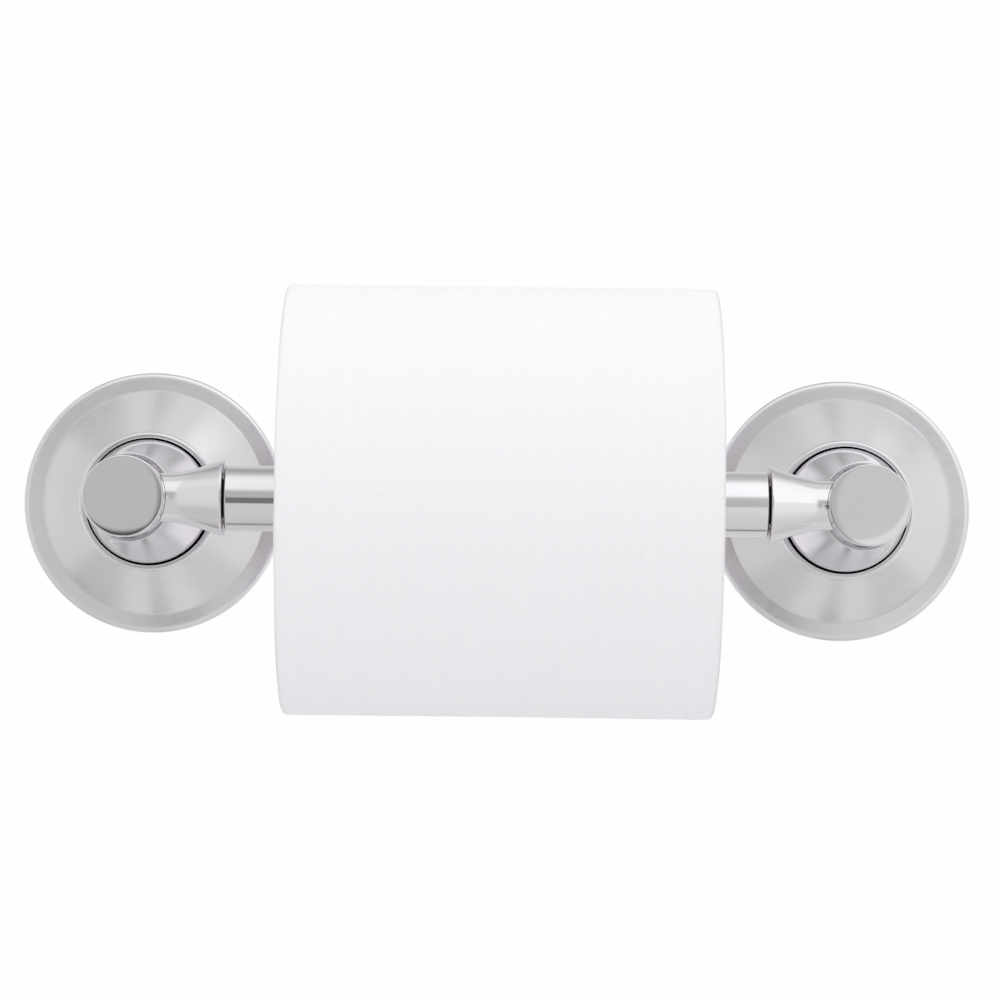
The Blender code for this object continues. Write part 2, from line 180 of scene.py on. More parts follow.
CORE_WALL = 0.0009
GAP = 0.0003
SHARP_DEGREES = 38
OUTLINE = 0.5  # a screw's section gives its recess as shares of the outline, all above this

# Camera: where it stands, how it is turned, and its lens.
CAMERA_PLACE = (0.00116, -0.92889, -0.01803)
CAMERA_PITCH = 1.228
CAMERA_YAW = 0.022
CAMERA_ROLL = 0.714
CAMERA_LENS_MM = 129.157


# ---------------------------------------------------------------- mesh helpers


def arc(centre, radii, start, end, steps):
    """Points (along, radius) on part of an ellipse, with angles in degrees from the radial direction."""
    turns = [math.radians(start + (end - start) * k / steps) for k in range(steps + 1)]
    return [(centre[0] + radii[0] * math.sin(t), centre[1] + radii[1] * math.cos(t)) for t in turns]


def line(first, last, steps):
    """Evenly spaced points from first to last, both included."""
    shares = [k / steps for k in range(steps + 1)]
    return [tuple(a + (b - a) * s for a, b in zip(first, last)) for s in shares]


def eased(profile, size, steps=3):
    """The section with every corner cut back by size and rounded, for profiles of straight runs."""
    points = [Vector(p) for p in profile]
    out = []
    for k, here in enumerate(points):
        before = points[k - 1] if k else None
        after = points[k + 1] if k + 1 < len(points) else None
        if before is None or after is None or here.y == 0:
            out.append(tuple(here))
            continue
        cut = min(size, (before - here).length * 0.45, (after - here).length * 0.45)
        start = here + (before - here).normalized() * cut
        end = here + (after - here).normalized() * cut
        for s in (j / steps for j in range(steps + 1)):
            out.append(tuple(start * (1 - s) ** 2 + here * 2 * s * (1 - s) + end * s * s))
    return out


def finish_mesh(name, vertices, faces, sharp_degrees=SHARP_DEGREES):
    """A mesh with outward normals and smooth shading, apart from its real edges."""
    mesh = bpy.data.meshes.new(name)
    mesh.from_pydata(vertices, [], faces)
    work = bmesh.new()
    work.from_mesh(mesh)
    bmesh.ops.recalc_face_normals(work, faces=work.faces)
    work.to_mesh(mesh)
    work.free()
    mesh.shade_smooth()
    mesh.set_sharp_from_angle(angle=math.radians(sharp_degrees))
    return mesh


def turned(name, profile, segments, shape=None, sharp_degrees=SHARP_DEGREES):
    """A mesh spun about Z from (along, radius) points, which run round the section.

    A section that starts and ends on the axis is solid, and any other is closed into a ring.
    The shape function takes (along, radius, angle) and gives the along and radius used there.
    """
    vertices = []
    rings = []
    for along, radius in profile:
        count = segments if radius else 1
        first = len(vertices)
        for k in range(count):
            angle = FULL_TURN * k / segments
            a, r = shape(along, radius, angle) if shape and radius else (along, radius)
            vertices.append((r * math.cos(angle), r * math.sin(angle), a))
        rings.append(range(first, first + count))
    pairs = list(pairwise(rings))
    if profile[0][1] and profile[-1][1]:
        pairs.append((rings[-1], rings[0]))
    faces = []
    for a, b in pairs:
        for k in range(segments):
            n = (k + 1) % segments
            corners = [a[k % len(a)], a[n % len(a)], b[n % len(b)], b[k % len(b)]]
            faces.append(list(dict.fromkeys(corners)))
    return finish_mesh(name, vertices, faces, sharp_degrees)


def box_mesh(name, low, high):
    """A plain box, used only to cut or to join."""
    work = bmesh.new()
    bmesh.ops.create_cube(work, size=1)
    size = Vector(high) - Vector(low)
    centre = (Vector(high) + Vector(low)) / 2
    place = Matrix.Translation(centre) @ Matrix.Diagonal((*size, 1))
    bmesh.ops.transform(work, matrix=place, verts=work.verts)
    mesh = bpy.data.meshes.new(name)
    work.to_mesh(mesh)
    work.free()
    return mesh


def rod_mesh(start, end, radius, segments):
    """A plain rod along Z, used only to cut a round hole."""
    return turned("hole", [(start, 0), (start, radius), (end, radius), (end, 0)], segments)


def combined(mesh, tools, operation="DIFFERENCE"):
    """The mesh after Booleans with the tool meshes, each given with its place."""
    scene = bpy.context.scene.collection
    body = bpy.data.objects.new("cut_body", mesh)
    scene.objects.link(body)
    helpers = []
    for tool, matrix in tools:
        helper = bpy.data.objects.new("cut_tool", tool)
        helper.matrix_world = matrix
        scene.objects.link(helper)
        take = body.modifiers.new("cut", "BOOLEAN")
        take.operation = operation
        take.solver = "EXACT"
        take.object = helper
        helpers.append(helper)
    graph = bpy.context.evaluated_depsgraph_get()
    result = bpy.data.meshes.new_from_object(body.evaluated_get(graph), depsgraph=graph)
    for thing in (body, *helpers):
        bpy.data.objects.remove(thing)
    result.shade_smooth()
    result.set_sharp_from_angle(angle=math.radians(SHARP_DEGREES))
    return result


def piece(name, mesh, matrix, material, body, slot, *nodes):
    """One visible piece in its place, riding on its body and standing for its CAD nodes."""
    data = mesh.copy()
    data.name = name
    data.transform(matrix)
    data.materials.clear()
    data.materials.append(material)
    made = bpy.data.objects.new(name, data)
    bpy.context.scene.collection.objects.link(made)
    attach(made, body)
    if nodes:
        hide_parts(*nodes)
    return made


def thread(start, end, pitch, depth):
    """A shape function that cuts a helical thread between two places on a shank."""

    def shape(along, radius, angle):
        run_out = min((along - start) / pitch, (end - along) / pitch, 1)
        if run_out <= 0:
            return along, radius
        phase = (along / pitch - angle / FULL_TURN) % 1
        return along, radius - depth * run_out * abs(2 * phase - 1)

    return shape


def hexagon(flat):
    """A shape function that turns a ring of radius 1 or more into a hexagon that wide from axis to flat."""

    def shape(along, radius, angle):
        inside = (angle % (FULL_TURN / 6)) - FULL_TURN / 12
        return along, flat / math.cos(inside)

    return shape


# ---------------------------------------------------------------- material helpers


def node(tree, kind, inputs=None, **settings):
    """Adds a node, sets its properties, and sets or links its inputs."""
    made = tree.nodes.new("ShaderNode" + kind)
    for key, value in settings.items():
        setattr(made, key, value)
    for key, value in (inputs or {}).items():
        if isinstance(value, bpy.types.NodeSocket):
            tree.links.new(value, made.inputs[key])
        else:
            made.inputs[key].default_value = value
    return made


def maths(tree, operation, *values):
    """The result of one Math node."""
    return node(tree, "Math", dict(enumerate(values)), operation=operation).outputs[0]


def times(tree, first, second):
    return maths(tree, "MULTIPLY", first, second)


def flat_length(tree, first, second):
    """The length of a flat vector."""
    square = times(tree, first, first)
    return maths(tree, "SQRT", maths(tree, "MULTIPLY_ADD", second, second, square))


def in_cell(tree, value):
    """Where a value lies in its cell of 1, measured from the cell's middle."""
    return maths(tree, "SUBTRACT", maths(tree, "FRACT", value), 0.5)


def vector(tree, x, y):
    """A vector from two numbers."""
    return node(tree, "CombineXYZ", {"X": x, "Y": y}).outputs[0]


def remap(tree, value, low, high, to_low, to_high, kind="LINEAR"):
    """A Map Range node's result, clamped."""
    inputs = {"Value": value, "From Min": low, "From Max": high, "To Min": to_low, "To Max": to_high}
    return node(tree, "MapRange", inputs, interpolation_type=kind).outputs["Result"]


def noise(tree, vector, scale, detail=4.0, roughness=0.55, distortion=0.0):
    inputs = {"Vector": vector, "Scale": scale, "Detail": detail}
    inputs |= {"Roughness": roughness, "Distortion": distortion}
    return node(tree, "TexNoise", inputs).outputs["Fac"]


def mapped(tree, vector, location=(0, 0, 0), scale=(1, 1, 1)):
    return node(tree, "Mapping", {"Vector": vector, "Location": location, "Scale": scale}).outputs["Vector"]


def blended(tree, factor, first, second):
    """A colour between first and second."""
    inputs = {0: factor, 6: first, 7: second}
    return node(tree, "Mix", inputs, data_type="RGBA").outputs[2]


def bump(tree, height, distance, strength=1.0, normal=None):
    inputs = {"Height": height, "Distance": distance, "Strength": strength}
    if normal:
        inputs["Normal"] = normal
    return node(tree, "Bump", inputs).outputs["Normal"]


def new_material(name):
    """An empty material with a Principled shader; gives the material, its tree, shader and place."""
    made = bpy.data.materials.new(name)
    made.use_nodes = True
    tree = made.node_tree
    tree.nodes.clear()
    shader = node(tree, "BsdfPrincipled")
    output = node(tree, "OutputMaterial")
    tree.links.new(shader.outputs[0], output.inputs[0])
    place = node(tree, "TexCoord").outputs["Object"]
    return made, tree, shader, place


def feed(tree, shader, **sockets):
    """Links or sets the shader's inputs, given as words joined by underscores."""
    for key, value in sockets.items():
        socket = shader.inputs[key.replace("_", " ")]
        if isinstance(value, bpy.types.NodeSocket):
            tree.links.new(value, socket)
        else:
            socket.default_value = value


def round_the_axis(tree, place, centre):
    """Radius, angle (in turns) and distance along X, for a thing wound or turned about a line along X."""
    local = mapped(tree, place, location=tuple(-c for c in centre))
    parts = node(tree, "SeparateXYZ", {"Vector": local}).outputs
    radius = flat_length(tree, parts["Y"], parts["Z"])
    angle = maths(tree, "DIVIDE", maths(tree, "ARCTAN2", parts["Z"], parts["Y"]), FULL_TURN)
    return radius, angle, parts["X"]


# ---------------------------------------------------------------- materials


def chrome(name, low_roughness, high_roughness, wave):
    """Chrome plate: a faint wavy polish, dried water spots, hairline scratches and rubbed edges."""
    made, tree, shader, place = new_material(name)
    cloud = noise(tree, place, 45.0, detail=3.0)
    smear = noise(tree, mapped(tree, place, scale=(1.0, 0.35, 2.2)), 260.0, detail=5.0, distortion=0.6)
    spots = node(tree, "TexVoronoi", {"Vector": place, "Scale": 210.0, "Randomness": 1.0}).outputs["Distance"]
    ring = remap(tree, maths(tree, "ABSOLUTE", maths(tree, "SUBTRACT", spots, 0.17)), 0.0, 0.035, 1.0, 0.0)
    wetted = remap(tree, noise(tree, place, 70.0, detail=1.0), 0.56, 0.66, 0.0, 1.0)
    spot = times(tree, ring, wetted)
    edge = remap(tree, node(tree, "NewGeometry").outputs["Pointiness"], 0.58, 0.70, 0.0, 1.0)

    tarnish = remap(tree, cloud, 0.35, 0.75, 0.0, 1.0)
    clean = blended(tree, tarnish, (0.815, 0.797, 0.823, 1), (0.775, 0.757, 0.782, 1))
    worn = blended(tree, times(tree, edge, 0.35), clean, (0.74, 0.72, 0.72, 1))
    colour = blended(tree, times(tree, spot, 0.10), worn, (0.70, 0.70, 0.72, 1))
    polish = remap(tree, smear, 0.35, 0.8, low_roughness, high_roughness)
    dulled = maths(tree, "MULTIPLY_ADD", spot, 0.03, polish)
    roughness = maths(tree, "MULTIPLY_ADD", edge, 0.01, dulled)

    hair_one = noise(tree, mapped(tree, place, scale=(6000.0, 160.0, 420.0)), 1.0, detail=2.0)
    hair_two = noise(tree, mapped(tree, place, scale=(300.0, 240.0, 7000.0)), 1.0, detail=2.0)
    hairs = maths(tree, "MAXIMUM", hair_one, hair_two)
    scratched = remap(tree, hairs, 0.70, 0.80, 0.0, 1.0)
    shallow = bump(tree, scratched, 0.15e-6, 0.4)
    waved = bump(tree, noise(tree, place, 60.0, detail=1.0), wave, 1.0, shallow)
    feed(tree, shader, Base_Color=colour, Roughness=roughness, Normal=waved, Metallic=1.0)
    return made


def zinc():
    """Zinc-plated steel: crystal patches, fine grit, dull handling marks and a little white bloom."""
    made, tree, shader, place = new_material("zinc_plate")
    crystal = node(tree, "TexVoronoi", {"Vector": place, "Scale": 1100.0}).outputs["Color"]
    tone = node(tree, "SeparateColor", {"Color": crystal}).outputs[0]
    cloud = noise(tree, place, 180.0, detail=5.0)
    grit = noise(tree, place, 5200.0, detail=3.0)
    patch = maths(tree, "MULTIPLY_ADD", tone, 0.35, cloud)
    patched = remap(tree, patch, 0.3, 0.9, 0.0, 1.0)
    base = blended(tree, patched, (0.50, 0.51, 0.53, 1), (0.68, 0.68, 0.67, 1))
    bloom = remap(tree, noise(tree, place, 420.0, detail=6.0), 0.60, 0.74, 0.0, 0.5)
    colour = blended(tree, bloom, base, (0.76, 0.76, 0.75, 1))
    roughness = maths(tree, "MULTIPLY_ADD", bloom, 0.30, remap(tree, patch, 0.3, 0.9, 0.42, 0.26))
    relief = bump(tree, grit, 3e-6, 0.6)
    feed(tree, shader, Base_Color=colour, Roughness=roughness, Normal=relief, Metallic=1.0)
    return made


def spring_steel():
    """Drawn wire: dark oiled steel with draw lines along it and brighter rubbed patches."""
    made, tree, shader, place = new_material("drawn_wire")
    radius, angle, _ = round_the_axis(tree, place, (0, -ROLLER_DEPTH, 0))
    lines = vector(tree, times(tree, radius, 9000.0), times(tree, angle, 3.0))
    draw = noise(tree, lines, 1.0, detail=4.0)
    oil = noise(tree, place, 120.0, detail=4.0)
    rubbed = remap(tree, oil, 0.45, 0.7, 0.0, 1.0)
    base = blended(tree, rubbed, (0.34, 0.33, 0.33, 1), (0.60, 0.59, 0.58, 1))
    colour = blended(tree, remap(tree, draw, 0.4, 0.7, 0.0, 0.4), base, (0.24, 0.23, 0.22, 1))
    roughness = remap(tree, maths(tree, "ADD", draw, oil), 0.7, 1.3, 0.22, 0.42)
    relief = bump(tree, draw, 4e-6, 0.7)
    feed(tree, shader, Base_Color=colour, Roughness=roughness, Normal=relief, Metallic=1.0)
    return made


def plastic(name, clean, stained, grain):
    """Moulded plastic: an eroded mould texture, flow marks, scuffs and a darker colour in the low places."""
    made, tree, shader, place = new_material(name)
    flow = noise(tree, mapped(tree, place, scale=(0.3, 1.0, 1.0)), 90.0, detail=3.0, distortion=1.2)
    fine = noise(tree, place, grain, detail=3.0, roughness=0.6)
    scuff_space = mapped(tree, place, scale=(260.0, 3200.0, 900.0))
    scuff = remap(tree, noise(tree, scuff_space, 1.0, detail=3.0), 0.62, 0.75, 0.0, 1.0)
    # Colour darkens where the surface is concave, read from pointiness.
    hollow_darkening = remap(tree, node(tree, "NewGeometry").outputs["Pointiness"], 0.40, 0.49, 0.6, 0.0)
    base = blended(tree, remap(tree, flow, 0.35, 0.7, 0.0, 1.0), clean, stained)
    colour = blended(tree, hollow_darkening, base, tuple(0.72 * c for c in stained[:3]) + (1,))
    roughness = maths(tree, "MULTIPLY_ADD", scuff, 0.16, remap(tree, fine, 0.3, 0.7, 0.34, 0.48))
    grained = bump(tree, fine, 9e-6, 0.6)
    relief = bump(tree, scuff, 4e-6, 0.5, grained)
    feed(tree, shader, Base_Color=colour, Roughness=roughness, Normal=relief)
    shader.inputs["Specular IOR Level"].default_value = 0.45
    return made


def cardboard():
    """Spiral-wound grey-brown board: plies at the ends, a helical butt seam, fibres and flecks."""
    made, tree, shader, place = new_material("core_board")
    radius, angle, along = round_the_axis(tree, place, (ROLL_X, -ROLLER_DEPTH, 0))
    lead = 0.085
    turn = maths(tree, "ADD", maths(tree, "DIVIDE", along, lead), angle)
    seam = maths(tree, "ABSOLUTE", in_cell(tree, turn))
    line_mask = remap(tree, seam, 0.0, 0.007, 1.0, 0.0)
    ply = maths(tree, "ABSOLUTE", maths(tree, "SINE", times(tree, radius, 9000.0)))
    fibres = noise(tree, mapped(tree, place, scale=(0.35, 1.0, 1.0)), 1500.0, detail=6.0, roughness=0.7)
    flecks = remap(tree, noise(tree, place, 2600.0, detail=2.0), 0.68, 0.74, 0.0, 0.5)
    base = blended(tree, fibres, (0.50, 0.41, 0.31, 1), (0.66, 0.57, 0.46, 1))
    seamed = blended(tree, times(tree, line_mask, 0.6), base, (0.30, 0.23, 0.16, 1))
    layered = blended(tree, times(tree, ply, 0.18), seamed, (0.36, 0.28, 0.20, 1))
    colour = blended(tree, flecks, layered, (0.27, 0.21, 0.16, 1))
    height = maths(tree, "SUBTRACT", fibres, times(tree, line_mask, 2.0))
    roughness = remap(tree, fibres, 0.3, 0.7, 0.80, 0.95)
    feed(tree, shader, Base_Color=colour, Roughness=roughness, Normal=bump(tree, height, 40e-6, 0.7))
    shader.inputs["Specular IOR Level"].default_value = 0.2
    return made


def paper():
    """Soft embossed tissue: crepe, fibres, a dotted scroll pattern, and wound edges at both ends with painted
    shade between their layers.
    """
    made, tree, shader, place = new_material("tissue")
    radius, angle, along = round_the_axis(tree, place, (ROLL_X, -ROLLER_DEPTH, 0))
    arc_length = times(tree, angle, FULL_TURN * ROLL_RADIUS)
    sheet = vector(tree, along, arc_length)
    at_end = remap(tree, maths(tree, "ABSOLUTE", along), ROLL_HALF - 0.9 * MM, ROLL_HALF - 0.3 * MM, 0.0, 1.0)
    on_face = maths(tree, "SUBTRACT", 1.0, at_end)

    crepe = noise(tree, mapped(tree, sheet, scale=(450.0, 3600.0, 1.0)), 1.0, detail=3.0, distortion=0.4)
    fibres = noise(tree, place, 3400.0, detail=5.0, roughness=0.7)
    streaks = noise(tree, mapped(tree, sheet, scale=(700.0, 32.0, 1.0)), 1.0, detail=3.0)
    dots = scroll_dots(tree, along, arc_length)

    wound = vector(tree, times(tree, radius, 3600.0), times(tree, angle, 5.0))
    layers = noise(tree, wound, 1.0, detail=4.0, roughness=0.65)

    tone = remap(tree, fibres, 0.3, 0.7, 0.0, 1.0)
    base = blended(tree, tone, (0.925, 0.906, 0.934, 1), (0.945, 0.928, 0.952, 1))
    streaked = blended(tree, remap(tree, streaks, 0.35, 0.7, 0.0, 0.35), base, (0.905, 0.888, 0.918, 1))
    # Painted shade: the end faces turn grey between the wound layers.
    layer_gap_shade = times(tree, at_end, remap(tree, layers, 0.40, 0.62, 0.5, 0.0))
    colour = blended(tree, layer_gap_shade, streaked, (0.72, 0.70, 0.72, 1))
    roughness = remap(tree, fibres, 0.3, 0.7, 0.86, 0.98)

    soft = bump(tree, times(tree, streaks, on_face), 70e-6, 0.8)
    creped = bump(tree, times(tree, crepe, on_face), 22e-6, 0.7, soft)
    dotted = bump(tree, times(tree, dots, on_face), 60e-6, 0.9, creped)
    ended = bump(tree, times(tree, layers, at_end), 160e-6, 1.0, dotted)
    feed(tree, shader, Base_Color=colour, Roughness=roughness, Normal=ended)
    shader.inputs["Specular IOR Level"].default_value = 0.15
    shader.inputs["Sheen Weight"].default_value = 0.12
    shader.inputs["Sheen Roughness"].default_value = 0.6
    return made


def scroll_dots(tree, along, arc_length):
    """Pressed dots on a curl that repeats over the sheet, turned the other way in every second cell."""
    cell_width, cell_height = 0.026, 0.022
    across = maths(tree, "DIVIDE", along, cell_width)
    up = maths(tree, "DIVIDE", arc_length, cell_height)
    row = maths(tree, "FLOOR", up)
    shifted = maths(tree, "MULTIPLY_ADD", row, 0.5, across)
    x = times(tree, in_cell(tree, shifted), cell_width)
    y = times(tree, in_cell(tree, up), cell_height)
    flip = maths(tree, "MULTIPLY_ADD", maths(tree, "PINGPONG", row, 1.0), 2.0, -1.0)
    x_flipped = times(tree, x, flip)
    distance = flat_length(tree, y, x)
    turn = maths(tree, "DIVIDE", maths(tree, "ARCTAN2", y, x_flipped), FULL_TURN)
    spacing = 0.0030
    arm = maths(tree, "SUBTRACT", maths(tree, "DIVIDE", distance, spacing), turn)
    off_arm = maths(tree, "ABSOLUTE", in_cell(tree, arm))
    on_arm = remap(tree, off_arm, 0.06, 0.18, 1.0, 0.0, "SMOOTHSTEP")
    inside = remap(tree, distance, 0.0078, 0.0090, 1.0, 0.0, "SMOOTHSTEP")
    outside = remap(tree, distance, 0.0010, 0.0016, 0.0, 1.0)
    grid = {"Vector": vector(tree, x, y), "Scale": 900.0, "Randomness": 0.35}
    beads = node(tree, "TexVoronoi", grid).outputs["Distance"]
    bead = remap(tree, beads, 0.15, 0.50, 1.0, 0.0, "SMOOTHSTEP")
    curl = times(tree, times(tree, on_arm, inside), outside)
    return times(tree, times(tree, curl, bead), -1.0)


# ---------------------------------------------------------------- pieces at each post


def flange_mesh():
    """The domed cover: rolled rim, dome, bead, sunk seat and thin skin, with the set screw's hole."""
    side = line((0.3 * MM, FLANGE_RADIUS), (RIM_SIDE_HEIGHT - 0.2 * MM, FLANGE_RADIUS), 3)
    rim = arc((RIM_SIDE_HEIGHT, FLANGE_RADIUS - RIM_ROUND), (RIM_ROUND, RIM_ROUND), 0, 75, 10)
    rise = DOME_TOP_HEIGHT - RIM_HEIGHT
    run = RIM_INNER_RADIUS - DOME_TOP_RADIUS
    steps = 32
    dome = []
    for k in range(steps + 1):
        t = k / steps
        swell = DOME_SWELL * math.sin(math.pi * t)
        dome.append((RIM_HEIGHT + rise * t + swell, RIM_INNER_RADIUS - run * t + swell))
    slope = line(rim[-1], dome[0], 5)
    bead_middle = (DOME_TOP_RADIUS + WELL_RADIUS) / 2
    bead_half = (DOME_TOP_RADIUS - WELL_RADIUS) / 2
    bead = arc((DOME_TOP_HEIGHT, bead_middle), (BEAD_HEIGHT - DOME_TOP_HEIGHT, bead_half), 12, 90, 9)
    lip = 0.3 * MM
    bead += arc((BEAD_HEIGHT - lip, bead_middle), (lip, bead_half), 90, 180, 9)[1:]
    fillet = 0.8 * MM
    well = [(SEAT_FRONT + 2 * fillet, WELL_RADIUS)]
    well += arc((SEAT_FRONT + fillet, WELL_RADIUS - fillet), (fillet, fillet), 0, -90, 5)
    seat = [(SEAT_FRONT, SEAT_HOLE + GAP), (SEAT_FRONT - GAP, SEAT_HOLE), (SEAT_BACK, SEAT_HOLE)]
    inside = [
        (SEAT_BACK, WELL_RADIUS + SKIN - fillet),
        (SEAT_BACK + fillet, WELL_RADIUS + SKIN),
        (DOME_TOP_HEIGHT - 2.2 * SKIN, WELL_RADIUS + SKIN),
        *line((DOME_TOP_HEIGHT - 1.6 * SKIN, WELL_RADIUS + 1.6 * SKIN), (RIM_HEIGHT, FLANGE_BORE - SKIN), 6),
        (RIM_HEIGHT - SKIN, FLANGE_BORE),
        (0.4 * MM, FLANGE_BORE),
        (0, FLANGE_BORE + 0.4 * MM),
    ]
    foot = (0, FLANGE_RADIUS - 0.3 * MM)
    section = [foot, *side, *rim, *slope[1:-1], *dome, *bead, *well, *seat, *inside]
    whole = turned("flange", section, 192)
    hole = rod_mesh(-4 * MM, 4 * MM, GRUB_RADIUS + GAP, 40)
    low = Matrix.Translation((0, -(FLANGE_RADIUS + FLANGE_BORE) / 2, GRUB_DEPTH))
    return combined(whole, [(hole, low @ Matrix.Rotation(math.radians(90), 4, "X"))])


def face_points():
    """The head's edge and face: a tight round, a softer roll-off and a slightly crowned face."""
    tight, soft, flat_radius = 0.30 * MM, 2.5 * MM, 5.0 * MM
    turn_over, crown_tilt = math.radians(8), math.radians(0.6)
    soft_run = soft * (math.sin(turn_over) - math.sin(crown_tilt))
    crown_radius = HEAD_RADIUS - tight * (1 - math.sin(turn_over)) - soft_run
    run = crown_radius - flat_radius
    crown_drop = math.tan(crown_tilt) * run / 3
    soft_drop = crown_drop + soft * (math.cos(crown_tilt) - math.cos(turn_over))
    centre = (FACE_DEPTH - soft_drop - tight * math.cos(turn_over), HEAD_RADIUS - tight)
    points = arc(centre, (tight, tight), 0, 90 - math.degrees(turn_over), 8)
    for k in range(1, 7):
        tilt = turn_over + (crown_tilt - turn_over) * k / 6
        drop = crown_drop + soft * (math.cos(crown_tilt) - math.cos(tilt))
        points.append((FACE_DEPTH - drop, crown_radius + soft * (math.sin(tilt) - math.sin(crown_tilt))))
    for share in (k / 10 for k in range(9, -1, -1)):
        points.append((FACE_DEPTH - crown_drop * share**3, flat_radius + run * share))
    return [*points, (FACE_DEPTH, 0)]


def post_mesh():
    """The flared stem with its collar, blind bore and round-edged head, drilled for the cup's screw."""
    bore = BOLT_RADIUS + GAP
    points = [(POST_BORE_DEPTH, 0), (POST_BORE_DEPTH - 1.2 * MM, bore), (FOOT_DEPTH + GAP, bore)]
    points += [(FOOT_DEPTH, bore + GAP)]
    ease = 0.2 * MM
    points += arc((FOOT_DEPTH + ease, COLLAR_RADIUS - ease), (ease, ease), -90, 0, 4)
    steps = 44
    for k in range(1, steps + 1):
        left = 1 - k / steps
        depth = FLARE_END_DEPTH - (FLARE_END_DEPTH - COLLAR_DEPTH) * left
        points.append((depth, HEAD_RADIUS + (COLLAR_RADIUS - HEAD_RADIUS) * left**FLARE_POWER))
    points += line((FLARE_END_DEPTH + 2 * MM, HEAD_RADIUS), (FACE_DEPTH - 0.9 * MM, HEAD_RADIUS), 5)
    points += face_points()
    whole = turned("post", points, 144)
    hole = rod_mesh(2 * MM, 15 * MM, CUP_SCREW_RADIUS + GAP, 32)
    side = Matrix.Translation((0, 0, ROLLER_DEPTH)) @ ALONG_X
    return combined(whole, [(hole, side)])


def cup_mesh():
    """The trumpet on the side of the head: a saddle against the post, a flared outside and a stepped bore."""
    flare = []
    steps = 36
    rim_width = 0.5 * MM
    for k in range(steps + 1):
        t = k / steps
        along = CUP_WAIST + (CUP_RIM - rim_width - CUP_WAIST) * t
        flare.append((along, CUP_WAIST_RADIUS + (CUP_RIM_RADIUS - CUP_WAIST_RADIUS) * t**CUP_POWER))
    lip_centre = (CUP_RIM - rim_width / 2, CUP_RIM_RADIUS - rim_width / 2)
    lip = arc(lip_centre, (rim_width / 2, rim_width / 2), 0, 90, 6)
    inner_lip = (CUP_RIM - rim_width / 2, CUP_MOUTH_RADIUS + rim_width / 2)
    mouth = arc(inner_lip, (rim_width / 2, rim_width / 2), 90, 180, 5)
    step = CUP_RIM - 1.3 * MM
    clear = CUP_SCREW_RADIUS + GAP
    taper_start = (step - 0.3 * MM, CUP_MOUTH_RADIUS - 1.1 * MM)
    taper_end = (CUP_FLOOR + 0.4 * MM, CUP_FLOOR_RADIUS + 0.1 * MM)
    bore = [
        (step + 0.2 * MM, CUP_MOUTH_RADIUS),
        (step, CUP_MOUTH_RADIUS - 0.2 * MM),
        (step, CUP_MOUTH_RADIUS - 0.9 * MM),
        *line(taper_start, taper_end, 6),
        (CUP_FLOOR, CUP_FLOOR_RADIUS - 0.3 * MM),
        (CUP_FLOOR, COUNTERBORE_RADIUS),
        (COUNTERBORE_FLOOR, COUNTERBORE_RADIUS),
        (COUNTERBORE_FLOOR, clear),
    ]
    saddle_radius = HEAD_RADIUS + 0.06 * MM
    on_saddle = 0.0
    saddle = [(on_saddle, clear + (CUP_WAIST_RADIUS - clear) * s) for s in (0, 0.25, 0.5, 0.75, 1)]

    def seated(along, radius, angle):
        """Points marked as on the saddle lie on the head's own curve."""
        if along > on_saddle:
            return along, radius
        sideways = radius * math.cos(angle)
        return math.sqrt(saddle_radius**2 - sideways**2), radius

    return turned("cup", [*saddle, *flare[1:], *lip, *mouth, *bore], 128, seated)


def plate_mesh():
    """A stamped round plate: bevelled rim, a pressed ring on its back and two clearance holes."""
    bevel = 1.2 * MM
    dip = 0.35 * MM
    section = [
        (0, 0),
        (0, 8.6 * MM),
        (dip, 9.2 * MM),
        (dip, 11.4 * MM),
        (0, 12.0 * MM),
        (0, PLATE_RADIUS - bevel),
        (bevel, PLATE_RADIUS),
        (PLATE_THICKNESS - GAP, PLATE_RADIUS),
        (PLATE_THICKNESS, PLATE_RADIUS - GAP),
        (PLATE_THICKNESS, 12.2 * MM),
        (PLATE_THICKNESS - dip, 11.6 * MM),
        (PLATE_THICKNESS - dip, 9.0 * MM),
        (PLATE_THICKNESS, 8.4 * MM),
        (PLATE_THICKNESS, 0),
    ]
    whole = turned("plate", eased(section, 0.12 * MM, 2), 128)
    hole = rod_mesh(-1 * MM, PLATE_THICKNESS + 1 * MM, SCREW_HOLE, 40)
    return combined(whole, [(hole, Matrix.Translation((0, up * SCREW_OFFSET, 0))) for _, up in ENDS])


def wall_screw_mesh():
    """A pan-head screw: gimlet point, deep thread, plain neck and a cross recess."""
    seat = PLATE_THICKNESS + GAP
    pitch = 1.4 * MM
    core_start = 4 * MM - SCREW_REACH
    point = line((0.4 * MM - SCREW_REACH, 0.35 * MM), (core_start, WALL_SCREW_RADIUS), 14)
    shank = line((core_start + pitch / 7, WALL_SCREW_RADIUS), (seat - 0.1 * MM, WALL_SCREW_RADIUS), 150)
    crown_foot = seat + 0.9 * MM
    crown = arc((crown_foot, 0.45 * SCREW_HEAD), (SCREW_FRONT - seat - 0.9 * MM, 0.55 * SCREW_HEAD), 0, 90, 8)
    slot_radius, slot_half, slot_floor = 2.1 * MM, 0.45 * MM, SCREW_FRONT - 1.5 * MM
    recess = [(SCREW_FRONT - 0.02 * MM, 1.0), (slot_floor, 0.55)]
    bite = thread(core_start - 3 * MM, -0.6 * MM, pitch, 0.55 * MM)

    def shape(along, radius, angle):
        if radius > OUTLINE:
            off_arm = max(min(abs(math.sin(angle)), abs(math.cos(angle))), 1e-6)
            return along, min(slot_radius, slot_half / off_arm) * radius
        return bite(along, radius, angle)

    head = [(seat, WALL_SCREW_RADIUS), (seat, SCREW_HEAD - 0.2 * MM), (seat + 0.2 * MM, SCREW_HEAD)]
    section = [(-SCREW_REACH, 0), *point, *shank, *head, *crown[:-1], *recess, (slot_floor, 0)]
    return turned("wall_screw", section, 48, shape, sharp_degrees=32)


